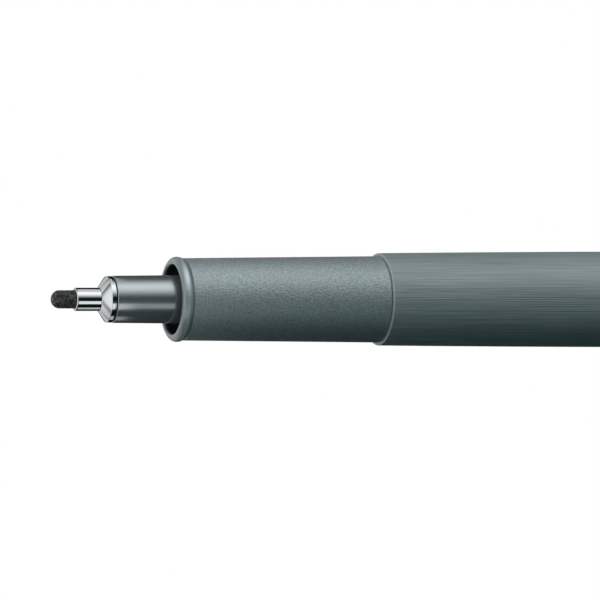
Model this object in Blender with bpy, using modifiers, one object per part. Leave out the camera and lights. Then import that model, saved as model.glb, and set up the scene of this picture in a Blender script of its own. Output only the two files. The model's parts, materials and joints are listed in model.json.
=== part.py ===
"""A fibre-tip technical pen, lying on its side with its cap posted on the rear of the barrel.

Every piece is drawn in the pen's own frame: the pen's axis is local Z, the writing tip is at
station 0 and the rear end lies towards +Z. One empty turns that frame so that the pen lies along
world X, nib towards -X, rolled until the cap and the edge of its clip both touch the ground.
A second empty stands at the mouth of the posted cap, and a third at the root of the clip.
"""

import math

import bmesh
import bpy
from mathutils import Matrix, Vector

MM = 0.001

# Clearances. The pen is only 10 mm thick, so its fits are much finer than on a large object.
PRESS_FIT = 0.03 * MM       # radial, between pieces that are pushed together
SLIDE_FIT = 0.08 * MM       # radial, between pieces that slide
FACE_GAP = 0.08 * MM        # along the axis, between faces that seat on each other

# Nib, its steel tube and the relay wick behind it
NIB_RADIUS = 0.917 * MM
NIB_POINT = 0.86 * MM       # length of the rounded writing end
NIB_EXPOSED = 2.39 * MM
NIB_BEHIND_TUBE = 12.3 * MM  # how far the nib runs on inside the holder, behind the tube
WICK_OVERSIZE = 0.133 * MM   # radial, wick over nib
WICK_INTO_RESERVOIR = 5.0 * MM
TUBE_WALL = 0.20 * MM
TUBE_LIP = 0.16 * MM
TUBE_EXPOSED = 2.50 * MM
TUBE_LENGTH = 7.6 * MM

# Metal cone and collar that hold the tube
CONE_LENGTH = 0.77 * MM
CONE_TIP_LAND = 0.05 * MM
COLLAR_HEIGHT = 1.148 * MM   # radial, collar over tube
COLLAR_LENGTH = 0.50 * MM
COLLAR_CHAMFER = 0.05 * MM
CONE_SPIGOT_WALL = 0.605 * MM
CONE_SPIGOT_LENGTH = 2.4 * MM

# Nib holder
HOLDER_STEP = 0.04 * MM     # radial, holder over collar
HOLDER_TAPER = 0.145 * MM   # radial, from its front edge to the floor of the mouth
HOLDER_EXPOSED = 6.16 * MM  # from its front edge to the lip of the grip section
HOLDER_EDGE = 0.05 * MM
HOLDER_FLANGE_HEIGHT = 0.57 * MM
HOLDER_FLANGE_LENGTH = 1.9 * MM

# Grip section, with a rounded lip round its open mouth
MOUTH_GAP = 1.016 * MM      # radial, from the holder to the wall of the mouth
MOUTH_DEPTH = 6.7 * MM
LIP_WALL = 0.747 * MM       # radial, from the mouth's wall to the widest place of the lip
LIP_PROUD = 0.135 * MM      # radial, lip over the front of the grip
LIP_THICKNESS = 0.50 * MM   # radial half width of the lip's round outer side
LIP_FRONT = 0.58 * MM       # from the lip's front face to its widest place
LIP_REAR = 0.776 * MM       # half length of the lip's rear slope, if it ran on to its centre
LIP_INNER_ROUND = 0.19 * MM
GRIP_TAPER = 0.282 * MM     # radial, from the lip to the barrel
GRIP_LENGTH = 21.93 * MM    # from the lip's front face to the barrel
WEB_THICKNESS = 6.0 * MM
SECTION_PLUG_WALL = 0.62 * MM
SECTION_PLUG_LENGTH = 14.0 * MM
PLUG_CHAMFER = 0.25 * MM

# Barrel
BARREL_STEP = 0.31 * MM     # radial, barrel over the rear of the grip
BARREL_SWELL = 0.38 * MM    # radial, belly over the front edge
BARREL_REAR_FALL = 0.18 * MM  # radial, belly over the shoulder
BARREL_FRONT_ROUND = 0.16 * MM
BARREL_REAR_ROUND = 0.30 * MM
BARREL_BELLY = 53.7 * MM    # from the barrel's front face to its widest place
BARREL_REAR_LENGTH = 30.0 * MM  # from there to the shoulder that stops the posted cap
BARREL_WALL = 0.70 * MM
BARREL_REAR_WALL = 0.74 * MM
BARREL_REAR_BORE_LENGTH = 11.0 * MM
SPIGOT_LENGTH = 12.4 * MM
SPIGOT_TAPER = 0.06 * MM

# Ink reservoir
RESERVOIR_STAND_OFF = 10.0 * MM  # from the rear of the nib holder to the reservoir
RESERVOIR_PLAY = 0.12 * MM  # radial, inside the grip section
FILM_WALL = 0.12 * MM
FILM_SHORTER = 0.5 * MM     # how far the film stops short of each end of the fibre
BREATHER_RADIUS = 0.55 * MM
BREATHER_WALL = 0.2 * MM
BREATHER_PROUD = 0.4 * MM

# End plug
END_PLUG_WALL = 0.7 * MM
END_STEM_LENGTH = 9.4 * MM
END_FLANGE_INSET = 0.29 * MM  # radial, under the spigot, so that the cap slides over it
END_FLANGE_THICKNESS = 1.3 * MM
END_FLANGE_EDGE = 0.35 * MM

# Cap, its inner seal and its crown
CAP_TIP_CLEARANCE = 3.88 * MM  # from the nib's tip to the cap's floor, with the cap on the nib
CAP_WALL = 0.80 * MM
CAP_TAPER = 0.15 * MM       # radial, outside, from the mouth to the closed end
CAP_BORE_TAPER = 0.05 * MM
CAP_FLOOR = 1.8 * MM        # from the cap's outer end to the floor of its bore
CAP_MOUTH_ROUND = 0.20 * MM
CAP_END_ROUND = 0.45 * MM
SEAL_PLAY = 0.316 * MM      # radial, between the seal and the mouth that it closes
SEAL_ENTRY = 2.96 * MM      # how far the seal enters that mouth
SEAL_FLANGE_THICKNESS = 1.0 * MM
SEAL_LEAD_IN = 0.20 * MM
CROWN_RIM = 1.72 * MM       # radial width of the cap's end face round the crown
CROWN_RECESS = 0.80 * MM
CROWN_PROUD = 0.40 * MM
CROWN_EDGE = 0.15 * MM

# Spring clip
CLIP_THICKNESS = 0.50 * MM
CLIP_ROOT_WIDTH = 3.0 * MM
CLIP_TIP_WIDTH = 2.4 * MM
CLIP_SLOT_FROM_END = 4.0 * MM
CLIP_STAND_OFF = 1.2 * MM   # free space between cap and clip near its root
CLIP_TOUCH_GAP = 0.06 * MM
CLIP_REACH = 27.5 * MM      # from its root to where it all but touches the cap
CLIP_TAIL = 2.9 * MM
CLIP_TAIL_LIFT = 0.75 * MM
CLIP_FOOT = 0.95 * MM       # how far the clip's root reaches inside the pivot
CLIP_ROOT_BEND = 0.8 * MM
CLIP_TOUCH_BEND = 3.0 * MM
CLIP_SLOT_PLAY = 0.15 * MM

LARGE_SIDES = 48
SMALL_SIDES = 32
ARC_STEPS = 5
BELLY_STEPS = 7
SMOOTH_BELOW = math.radians(30.0)
MERGE = 1e-6                 # metres

# Stations along the pen, from the tip of the nib
TUBE_FRONT = NIB_EXPOSED
TUBE_REAR = TUBE_FRONT + TUBE_LENGTH
NIB_REAR = TUBE_REAR + NIB_BEHIND_TUBE
CONE_FRONT = TUBE_FRONT + TUBE_EXPOSED
COLLAR_FRONT = CONE_FRONT + CONE_LENGTH
COLLAR_REAR = COLLAR_FRONT + COLLAR_LENGTH
CONE_SPIGOT_REAR = COLLAR_REAR + CONE_SPIGOT_LENGTH
HOLDER_FRONT = COLLAR_REAR + FACE_GAP
MOUTH_FRONT = HOLDER_FRONT + HOLDER_EXPOSED
MOUTH_FLOOR = MOUTH_FRONT + MOUTH_DEPTH
WEB_REAR = MOUTH_FLOOR + WEB_THICKNESS
HOLDER_FLANGE_FRONT = WEB_REAR + FACE_GAP
HOLDER_REAR = HOLDER_FLANGE_FRONT + HOLDER_FLANGE_LENGTH
GRIP_REAR = MOUTH_FRONT + GRIP_LENGTH
SECTION_REAR = GRIP_REAR + SECTION_PLUG_LENGTH
BARREL_FRONT = GRIP_REAR + FACE_GAP
BELLY_STATION = BARREL_FRONT + BARREL_BELLY
SHOULDER = BELLY_STATION + BARREL_REAR_LENGTH
SPIGOT_REAR = SHOULDER + SPIGOT_LENGTH
BORE_STEP = SPIGOT_REAR - BARREL_REAR_BORE_LENGTH
END_FLANGE_FRONT = SPIGOT_REAR + FACE_GAP
END_FLANGE_REAR = END_FLANGE_FRONT + END_FLANGE_THICKNESS
END_STEM_FRONT = END_FLANGE_FRONT - END_STEM_LENGTH
RESERVOIR_FRONT = HOLDER_REAR + RESERVOIR_STAND_OFF
RESERVOIR_REAR = END_STEM_FRONT - FACE_GAP
RESERVOIR_LENGTH = RESERVOIR_REAR - RESERVOIR_FRONT
CAP_MOUTH = SHOULDER + FACE_GAP
CAP_LENGTH = BARREL_FRONT + CAP_TIP_CLEARANCE + CAP_FLOOR
POSTED_LENGTH = CAP_MOUTH + CAP_LENGTH + CROWN_PROUD

# Radii, from the nib outward
NIB_BORE_RADIUS = NIB_RADIUS + PRESS_FIT
WICK_RADIUS = NIB_RADIUS + WICK_OVERSIZE
WICK_BORE_RADIUS = WICK_RADIUS + PRESS_FIT
TUBE_RADIUS = NIB_BORE_RADIUS + TUBE_WALL
TUBE_BORE_IN_CONE = TUBE_RADIUS + PRESS_FIT
CONE_SPIGOT_RADIUS = TUBE_BORE_IN_CONE + CONE_SPIGOT_WALL
COLLAR_RADIUS = TUBE_RADIUS + COLLAR_HEIGHT
HOLDER_FRONT_RADIUS = COLLAR_RADIUS + HOLDER_STEP
HOLDER_STEM_RADIUS = HOLDER_FRONT_RADIUS + HOLDER_TAPER
HOLDER_FLANGE_RADIUS = HOLDER_STEM_RADIUS + HOLDER_FLANGE_HEIGHT
MOUTH_RADIUS = HOLDER_STEM_RADIUS + MOUTH_GAP
LIP_RADIUS = MOUTH_RADIUS + LIP_WALL
GRIP_FRONT_RADIUS = LIP_RADIUS - LIP_PROUD
GRIP_REAR_RADIUS = GRIP_FRONT_RADIUS + GRIP_TAPER
BARREL_FRONT_RADIUS = GRIP_REAR_RADIUS + BARREL_STEP
BARREL_BELLY_RADIUS = BARREL_FRONT_RADIUS + BARREL_SWELL
BARREL_SHOULDER_RADIUS = BARREL_BELLY_RADIUS - BARREL_REAR_FALL
BARREL_BORE_RADIUS = BARREL_FRONT_RADIUS - BARREL_WALL
SECTION_PLUG_RADIUS = BARREL_BORE_RADIUS - PRESS_FIT
SECTION_BORE_RADIUS = SECTION_PLUG_RADIUS - SECTION_PLUG_WALL
CAP_BORE_RADIUS = GRIP_REAR_RADIUS + SLIDE_FIT
CAP_BORE_END_RADIUS = CAP_BORE_RADIUS - CAP_BORE_TAPER
CAP_MOUTH_RADIUS = CAP_BORE_RADIUS + CAP_WALL
CAP_END_RADIUS = CAP_MOUTH_RADIUS - CAP_TAPER
CROWN_RADIUS = CAP_END_RADIUS - CROWN_RIM
SPIGOT_RADIUS = CAP_BORE_RADIUS - SLIDE_FIT
BARREL_REAR_BORE_RADIUS = SPIGOT_RADIUS - BARREL_REAR_WALL
END_STEM_RADIUS = BARREL_REAR_BORE_RADIUS - PRESS_FIT
END_FLANGE_RADIUS = SPIGOT_RADIUS - END_FLANGE_INSET
SEAL_BORE_RADIUS = HOLDER_STEM_RADIUS + SLIDE_FIT
SEAL_RADIUS = MOUTH_RADIUS - SEAL_PLAY
FILM_INNER_RADIUS = SECTION_BORE_RADIUS - RESERVOIR_PLAY - FILM_WALL
RESERVOIR_RADIUS = FILM_INNER_RADIUS - PRESS_FIT
BREATHER_OFFSET = (WICK_BORE_RADIUS + RESERVOIR_RADIUS) / 2

# The clip in the cap's frame: the depth is measured from the cap's mouth
CLIP_DEPTH = CAP_LENGTH - CLIP_SLOT_FROM_END


def cap_radius_at(depth):
    """Outer radius of the cap at a depth from its mouth."""
    return CAP_MOUTH_RADIUS + (CAP_END_RADIUS - CAP_MOUTH_RADIUS) * depth / CAP_LENGTH


def cap_bore_at(depth):
    """Radius of the cap's bore at a depth from its mouth."""
    return CAP_BORE_RADIUS - CAP_BORE_TAPER * depth / (CAP_LENGTH - CAP_FLOOR)


CLIP_PIVOT_RADIUS = (cap_radius_at(CLIP_DEPTH) + cap_bore_at(CLIP_DEPTH)) / 2
CLIP_ROOT_RADIUS = cap_radius_at(CLIP_DEPTH) + CLIP_STAND_OFF + CLIP_THICKNESS / 2
CLIP_CREST_RADIUS = CLIP_ROOT_RADIUS + CLIP_THICKNESS / 2

# Linear colour, metallic, roughness
FINISHES = {
    "slate_gloss_plastic": ((0.105, 0.140, 0.150), 0.0, 0.22),
    "slate_satin_plastic": ((0.125, 0.160, 0.172), 0.0, 0.42),
    "slate_grained_plastic": ((0.130, 0.165, 0.178), 0.0, 0.50),
    "polished_steel": ((0.78, 0.79, 0.80), 1.0, 0.10),
    "black_fibre": ((0.020, 0.021, 0.022), 0.0, 0.85),
    "white_fibre": ((0.72, 0.73, 0.74), 0.0, 0.90),
    "clear_film": ((0.62, 0.66, 0.68), 0.0, 0.20),
    "natural_plastic": ((0.66, 0.67, 0.66), 0.0, 0.35),
    "pale_plastic": ((0.58, 0.61, 0.62), 0.0, 0.30),
}


def clear_scene():
    """Remove every object from the scene."""
    for item in list(bpy.data.objects):
        bpy.data.objects.remove(item, do_unlink=True)


def new_collection(name):
    """A collection linked to the scene."""
    collection = bpy.data.collections.new(name)
    bpy.context.scene.collection.children.link(collection)
    return collection


def finish(name):
    """The Principled material of a named finish, made once."""
    material = bpy.data.materials.get(name)
    if material is None:
        colour, metallic, roughness = FINISHES[name]
        material = bpy.data.materials.new(name)
        material.use_nodes = True
        shader = material.node_tree.nodes["Principled BSDF"]
        shader.inputs["Base Color"].default_value = (*colour, 1.0)
        shader.inputs["Metallic"].default_value = metallic
        shader.inputs["Roughness"].default_value = roughness
    return material


def arc(centre, half_width, half_height, start, end, steps=ARC_STEPS):
    """Points of an elliptical arc; at 0 degrees it points outward, at -90 to the front."""
    points = []
    for step in range(steps + 1):
        angle = math.radians(start + (end - start) * step / steps)
        points.append((centre[0] + half_width * math.cos(angle),
                       centre[1] + half_height * math.sin(angle)))
    return points


def wire_mesh(name, points, closed):
    """A mesh of edges along points given as (radius, station)."""
    mesh = bpy.data.meshes.new(name)
    edges = [(i, i + 1) for i in range(len(points) - 1)]
    if closed:
        edges.append((len(points) - 1, 0))
    mesh.from_pydata([(radius, 0.0, station) for radius, station in points], edges, [])
    return mesh


def settle(piece):
    """Turn a piece's modifiers into plain mesh, shaded smooth with its real edges kept."""
    evaluated = piece.evaluated_get(bpy.context.evaluated_depsgraph_get())
    mesh = bpy.data.meshes.new_from_object(evaluated)
    mesh.name = piece.name
    piece.modifiers.clear()
    piece.data = mesh
    mesh.shade_smooth()
    mesh.set_sharp_from_angle(angle=SMOOTH_BELOW)


def turned(name, outline, finish_name, pen, parent, closed=True, sides=SMALL_SIDES):
    """A turned piece. Its outline runs forward along the outer side, then back along the bore.

    A closed outline makes a ring; an open one starts and ends on the axis.
    """
    piece = bpy.data.objects.new(name, wire_mesh(name, outline, closed))
    pen.objects.link(piece)
    screw = piece.modifiers.new("turn", "SCREW")
    screw.axis = "Z"
    screw.steps = sides
    screw.render_steps = sides
    screw.use_merge_vertices = True
    screw.merge_threshold = MERGE
    bpy.context.view_layer.update()
    settle(piece)
    piece.data.materials.clear()
    piece.data.materials.append(finish(finish_name))
    piece.parent = parent
    return piece


def new_cutter(name, mesh, cutters, parent):
    """A tool for a Boolean cut, kept out of the model."""
    cutter = bpy.data.objects.new(name, mesh)
    cutters.objects.link(cutter)
    cutter.hide_render = True
    cutter.display_type = "WIRE"
    cutter.parent = parent
    return cutter


def cut(piece, cutter):
    """Cut a cutter out of a piece."""
    modifier = piece.modifiers.new("cut", "BOOLEAN")
    modifier.operation = "DIFFERENCE"
    modifier.object = cutter
    bpy.context.view_layer.update()
    settle(piece)


def make_fibre_nib(pen, parent):
    """Solid fibre nib with a bullet point."""
    outline = [(0.0, NIB_REAR), (NIB_RADIUS, NIB_REAR)]
    outline += arc((0.0, NIB_POINT), NIB_RADIUS, NIB_POINT, 0, -90, steps=7)
    return turned("fibre_nib", outline, "black_fibre", pen, parent, closed=False)


def make_relay_wick(pen, parent):
    """Wick that carries ink from the reservoir to the rear of the nib."""
    front = NIB_REAR + FACE_GAP
    rear = RESERVOIR_FRONT + WICK_INTO_RESERVOIR
    outline = [(0.0, rear), (WICK_RADIUS, rear), (WICK_RADIUS, front), (0.0, front)]
    return turned("relay_wick", outline, "white_fibre", pen, parent, closed=False)


def make_nib_tube(pen, parent):
    """Thin steel tube round the nib, with a rounded front lip."""
    outline = [(TUBE_RADIUS, TUBE_REAR)]
    outline += arc((TUBE_RADIUS - TUBE_LIP, TUBE_FRONT + TUBE_LIP), TUBE_LIP, TUBE_LIP, 0, -90)
    outline += [(NIB_BORE_RADIUS, TUBE_FRONT), (NIB_BORE_RADIUS, TUBE_REAR)]
    return turned("nib_tube", outline, "polished_steel", pen, parent)


def make_nib_cone(pen, parent):
    """Metal cone and collar, with a spigot that is pressed into the nib holder."""
    outline = [
        (CONE_SPIGOT_RADIUS, CONE_SPIGOT_REAR),
        (CONE_SPIGOT_RADIUS, COLLAR_REAR),
        (COLLAR_RADIUS - COLLAR_CHAMFER, COLLAR_REAR),
        (COLLAR_RADIUS, COLLAR_REAR - COLLAR_CHAMFER),
        (COLLAR_RADIUS, COLLAR_FRONT),
        (TUBE_BORE_IN_CONE + CONE_TIP_LAND, CONE_FRONT),
        (TUBE_BORE_IN_CONE, CONE_FRONT),
        (TUBE_BORE_IN_CONE, CONE_SPIGOT_REAR),
    ]
    return turned("nib_cone", outline, "polished_steel", pen, parent)


def make_nib_holder(pen, parent):
    """Moulded holder: bored for cone, tube, nib and wick, with a flange behind the web."""
    cone_bore = CONE_SPIGOT_RADIUS + PRESS_FIT
    cone_seat = CONE_SPIGOT_REAR + FACE_GAP
    tube_seat = TUBE_REAR + FACE_GAP
    outline = [
        (HOLDER_FLANGE_RADIUS, HOLDER_REAR),
        (HOLDER_FLANGE_RADIUS, HOLDER_FLANGE_FRONT),
        (HOLDER_STEM_RADIUS, HOLDER_FLANGE_FRONT),
        (HOLDER_STEM_RADIUS, MOUTH_FLOOR),
        (HOLDER_FRONT_RADIUS, HOLDER_FRONT + HOLDER_EDGE),
        (HOLDER_FRONT_RADIUS - HOLDER_EDGE, HOLDER_FRONT),
        (cone_bore, HOLDER_FRONT),
        (cone_bore, cone_seat),
        (TUBE_BORE_IN_CONE, cone_seat),
        (TUBE_BORE_IN_CONE, tube_seat),
        (NIB_BORE_RADIUS, tube_seat),
        (NIB_BORE_RADIUS, NIB_REAR),
        (WICK_BORE_RADIUS, NIB_REAR),
        (WICK_BORE_RADIUS, HOLDER_REAR),
    ]
    return turned("nib_holder", outline, "slate_gloss_plastic", pen, parent)


def lip_outline():
    """Outline of the grip section's lip, from the crease behind it to the mouth's wall."""
    lip_centre = LIP_RADIUS - LIP_THICKNESS
    widest = MOUTH_FRONT + LIP_FRONT
    crease = math.degrees(math.acos((GRIP_FRONT_RADIUS - lip_centre) / LIP_THICKNESS))
    outline = arc((lip_centre, widest), LIP_THICKNESS, LIP_REAR, crease, 0)
    outline += arc((lip_centre, widest), LIP_THICKNESS, LIP_FRONT, 0, -90)[1:]
    inner_centre = (MOUTH_RADIUS + LIP_INNER_ROUND, MOUTH_FRONT + LIP_INNER_ROUND)
    outline += arc(inner_centre, LIP_INNER_ROUND, LIP_INNER_ROUND, -90, -180, steps=3)
    return outline


def make_grip_section(pen, parent):
    """Tapered grip with an open, lipped mouth, a web for the holder and a plug for the barrel."""
    web_bore = HOLDER_STEM_RADIUS + PRESS_FIT
    outline = [
        (SECTION_PLUG_RADIUS - PLUG_CHAMFER, SECTION_REAR),
        (SECTION_PLUG_RADIUS, SECTION_REAR - PLUG_CHAMFER),
        (SECTION_PLUG_RADIUS, GRIP_REAR),
        (GRIP_REAR_RADIUS, GRIP_REAR),
    ]
    outline += lip_outline()
    outline += [
        (MOUTH_RADIUS, MOUTH_FLOOR),
        (web_bore, MOUTH_FLOOR),
        (web_bore, WEB_REAR),
        (SECTION_BORE_RADIUS, WEB_REAR),
        (SECTION_BORE_RADIUS, SECTION_REAR),
    ]
    return turned("grip_section", outline, "slate_grained_plastic", pen, parent, sides=LARGE_SIDES)


def barrel_radius_at(station):
    """Outer radius of the barrel: one soft swell, widest at the belly."""
    if station < BELLY_STATION:
        end_radius, reach = BARREL_FRONT_RADIUS, BELLY_STATION - BARREL_FRONT
    else:
        end_radius, reach = BARREL_SHOULDER_RADIUS, SHOULDER - BELLY_STATION
    share = (station - BELLY_STATION) / reach
    return BARREL_BELLY_RADIUS - (BARREL_BELLY_RADIUS - end_radius) * share * share


def make_barrel(pen, parent):
    """Swelling barrel with a spigot behind its shoulder, where the cap is posted."""
    rear_edge = SHOULDER - BARREL_REAR_ROUND
    front_edge = BARREL_FRONT + BARREL_FRONT_ROUND
    rear_radius = barrel_radius_at(rear_edge)
    front_radius = barrel_radius_at(front_edge)
    outline = [
        (SPIGOT_RADIUS - SPIGOT_TAPER - PLUG_CHAMFER, SPIGOT_REAR),
        (SPIGOT_RADIUS - SPIGOT_TAPER, SPIGOT_REAR - PLUG_CHAMFER),
        (SPIGOT_RADIUS, SHOULDER),
    ]
    outline += arc((rear_radius - BARREL_REAR_ROUND, rear_edge),
                   BARREL_REAR_ROUND, BARREL_REAR_ROUND, 90, 0, steps=3)
    for step in range(1, BELLY_STEPS):
        station = rear_edge + (BELLY_STATION - rear_edge) * step / BELLY_STEPS
        outline.append((barrel_radius_at(station), station))
    for step in range(BELLY_STEPS):
        station = BELLY_STATION + (front_edge - BELLY_STATION) * step / BELLY_STEPS
        outline.append((barrel_radius_at(station), station))
    outline += arc((front_radius - BARREL_FRONT_ROUND, front_edge),
                   BARREL_FRONT_ROUND, BARREL_FRONT_ROUND, 0, -90, steps=3)
    outline += [
        (BARREL_BORE_RADIUS, BARREL_FRONT),
        (BARREL_BORE_RADIUS, BORE_STEP),
        (BARREL_REAR_BORE_RADIUS, BORE_STEP),
        (BARREL_REAR_BORE_RADIUS, SPIGOT_REAR),
    ]
    return turned("barrel", outline, "slate_satin_plastic", pen, parent, sides=LARGE_SIDES)


def make_reservoir_core(pen, cutters, parent):
    """Fibre ink store, with a hole for the wick and a channel for the breather tube."""
    wick_hole_end = RESERVOIR_FRONT + WICK_INTO_RESERVOIR + FACE_GAP
    outline = [
        (0.0, RESERVOIR_REAR),
        (RESERVOIR_RADIUS, RESERVOIR_REAR),
        (RESERVOIR_RADIUS, RESERVOIR_FRONT),
        (WICK_BORE_RADIUS, RESERVOIR_FRONT),
        (WICK_BORE_RADIUS, wick_hole_end),
        (0.0, wick_hole_end),
    ]
    core = turned("reservoir_core", outline, "white_fibre", pen, parent, closed=False)
    drill = bmesh.new()
    bmesh.ops.create_cone(drill, cap_ends=True, segments=SMALL_SIDES // 2,
                          radius1=BREATHER_RADIUS + PRESS_FIT, radius2=BREATHER_RADIUS + PRESS_FIT,
                          depth=RESERVOIR_LENGTH * 1.1)
    mesh = bpy.data.meshes.new("breather_drill")
    drill.to_mesh(mesh)
    drill.free()
    cutter = new_cutter("breather_drill", mesh, cutters, parent)
    cutter.location = (BREATHER_OFFSET, 0.0, (RESERVOIR_FRONT + RESERVOIR_REAR) / 2)
    cut(core, cutter)
    return core


def make_reservoir_film(pen, parent):
    """Plastic film wrapped round the fibre: an open sleeve, thickened outward."""
    sleeve = bmesh.new()
    length = RESERVOIR_LENGTH - 2 * FILM_SHORTER
    bmesh.ops.create_cone(sleeve, cap_ends=False, segments=SMALL_SIDES,
                          radius1=FILM_INNER_RADIUS, radius2=FILM_INNER_RADIUS, depth=length)
    mesh = bpy.data.meshes.new("reservoir_film")
    sleeve.to_mesh(mesh)
    sleeve.free()
    film = bpy.data.objects.new("reservoir_film", mesh)
    pen.objects.link(film)
    wall = film.modifiers.new("wall", "SOLIDIFY")
    wall.thickness = FILM_WALL
    wall.offset = 1.0
    wall.use_even_offset = True
    bpy.context.view_layer.update()
    settle(film)
    film.data.materials.clear()
    film.data.materials.append(finish("clear_film"))
    film.parent = parent
    film.location = (0.0, 0.0, (RESERVOIR_FRONT + RESERVOIR_REAR) / 2)
    return film


def make_breather_tube(pen, parent):
    """Thin air tube that lies in the channel of the fibre."""
    front = RESERVOIR_FRONT - BREATHER_PROUD
    rear = RESERVOIR_REAR + BREATHER_PROUD
    bore = BREATHER_RADIUS - BREATHER_WALL
    outline = [(BREATHER_RADIUS, rear), (BREATHER_RADIUS, front), (bore, front), (bore, rear)]
    tube = turned("breather_tube", outline, "natural_plastic", pen, parent,
                  sides=SMALL_SIDES // 2)
    tube.location = (BREATHER_OFFSET, 0.0, 0.0)
    return tube


def make_end_plug(pen, parent):
    """Cup-shaped plug that closes the barrel and holds the reservoir forward."""
    floor = END_FLANGE_FRONT
    inner = END_STEM_RADIUS - END_PLUG_WALL
    outline = [
        (0.0, END_FLANGE_REAR),
        (END_FLANGE_RADIUS - END_FLANGE_EDGE, END_FLANGE_REAR),
        (END_FLANGE_RADIUS, END_FLANGE_REAR - END_FLANGE_EDGE),
        (END_FLANGE_RADIUS, END_FLANGE_FRONT),
        (END_STEM_RADIUS, END_FLANGE_FRONT),
        (END_STEM_RADIUS, END_STEM_FRONT),
        (inner, END_STEM_FRONT),
        (inner, floor),
        (0.0, floor),
    ]
    return turned("end_plug", outline, "slate_gloss_plastic", pen, parent, closed=False,
                  sides=LARGE_SIDES)


def make_cap_shell(pen, cutters, parent):
    """Cap with a closed end, a recess for the crown and a slot for the clip."""
    floor = CAP_LENGTH - CAP_FLOOR
    recess_floor = CAP_LENGTH - CROWN_RECESS
    recess_radius = CROWN_RADIUS + PRESS_FIT
    outline = [(0.0, recess_floor), (recess_radius, recess_floor), (recess_radius, CAP_LENGTH)]
    outline += arc((CAP_END_RADIUS - CAP_END_ROUND, CAP_LENGTH - CAP_END_ROUND),
                   CAP_END_ROUND, CAP_END_ROUND, 90, 0)
    outline += arc((CAP_MOUTH_RADIUS - CAP_MOUTH_ROUND, CAP_MOUTH_ROUND),
                   CAP_MOUTH_ROUND, CAP_MOUTH_ROUND, 0, -90, steps=3)
    outline += [(CAP_BORE_RADIUS, 0.0), (CAP_BORE_END_RADIUS, floor), (0.0, floor)]
    shell = turned("cap_shell", outline, "slate_satin_plastic", pen, parent, closed=False,
                   sides=LARGE_SIDES)
    slot = bmesh.new()
    bmesh.ops.create_cube(slot, size=1.0)
    size = Vector((CAP_WALL * 3, CLIP_ROOT_WIDTH + 2 * CLIP_SLOT_PLAY,
                   CLIP_THICKNESS + 2 * CLIP_SLOT_PLAY))
    bmesh.ops.scale(slot, vec=size, verts=slot.verts)
    mesh = bpy.data.meshes.new("clip_slot")
    slot.to_mesh(mesh)
    slot.free()
    cutter = new_cutter("clip_slot", mesh, cutters, parent)
    cutter.location = (CLIP_PIVOT_RADIUS, 0.0, CLIP_DEPTH)
    cut(shell, cutter)
    return shell


def make_cap_inner_seal(pen, parent):
    """Inner cup of the cap, which closes over the nib holder and keeps the nib wet."""
    base_rear = CAP_LENGTH - CAP_FLOOR - FACE_GAP
    base_front = base_rear - SEAL_FLANGE_THICKNESS
    mouth = BARREL_FRONT - MOUTH_FRONT - SEAL_ENTRY
    flange = CAP_BORE_END_RADIUS - PRESS_FIT
    outline = [
        (0.0, base_rear),
        (flange, base_rear),
        (flange, base_front),
        (SEAL_RADIUS, base_front),
        (SEAL_RADIUS, mouth + SEAL_LEAD_IN),
        (SEAL_RADIUS - SEAL_LEAD_IN, mouth),
        (SEAL_BORE_RADIUS, mouth),
        (SEAL_BORE_RADIUS, base_front),
        (0.0, base_front),
    ]
    return turned("cap_inner_seal", outline, "pale_plastic", pen, parent, closed=False)


def make_cap_crown(pen, parent):
    """Round insert in the cap's closed end, with a flat face."""
    front = CAP_LENGTH - CROWN_RECESS + FACE_GAP
    rear = CAP_LENGTH + CROWN_PROUD
    outline = [
        (0.0, rear),
        (CROWN_RADIUS - CROWN_EDGE, rear),
        (CROWN_RADIUS, rear - CROWN_EDGE),
        (CROWN_RADIUS, front),
        (0.0, front),
    ]
    return turned("cap_crown", outline, "slate_gloss_plastic", pen, parent, closed=False)


def rounded_path(corners, bends):
    """A path through corners, with each inner corner replaced by an arc of its bend radius."""
    path = [Vector(corners[0])]
    for before, corner, after, bend in zip(corners, corners[1:], corners[2:], bends):
        corner = Vector(corner)
        towards = (Vector(before) - corner).normalized()
        onward = (Vector(after) - corner).normalized()
        half = towards.angle(onward) / 2
        centre = corner + (towards + onward).normalized() * bend / math.sin(half)
        start = corner + towards * bend / math.tan(half) - centre
        end = corner + onward * bend / math.tan(half) - centre
        turn = math.copysign(math.pi - 2 * half, start.x * end.y - start.y * end.x)
        for step in range(ARC_STEPS + 1):
            spin = Matrix.Rotation(turn * step / ARC_STEPS, 2)
            path.append(centre + spin @ start)
    path.append(Vector(corners[-1]))
    return path


def clip_path():
    """Centre line of the clip as (radius, depth), from its foot in the cap to its tail."""
    touch_depth = CLIP_DEPTH - CLIP_REACH
    touch_radius = cap_radius_at(touch_depth) + CLIP_TOUCH_GAP + CLIP_THICKNESS / 2
    corners = [
        (CLIP_PIVOT_RADIUS - CLIP_FOOT, CLIP_DEPTH),
        (CLIP_ROOT_RADIUS, CLIP_DEPTH),
        (touch_radius, touch_depth),
        (touch_radius + CLIP_TAIL_LIFT, touch_depth - CLIP_TAIL),
    ]
    return rounded_path(corners, [CLIP_ROOT_BEND, CLIP_TOUCH_BEND])


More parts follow.
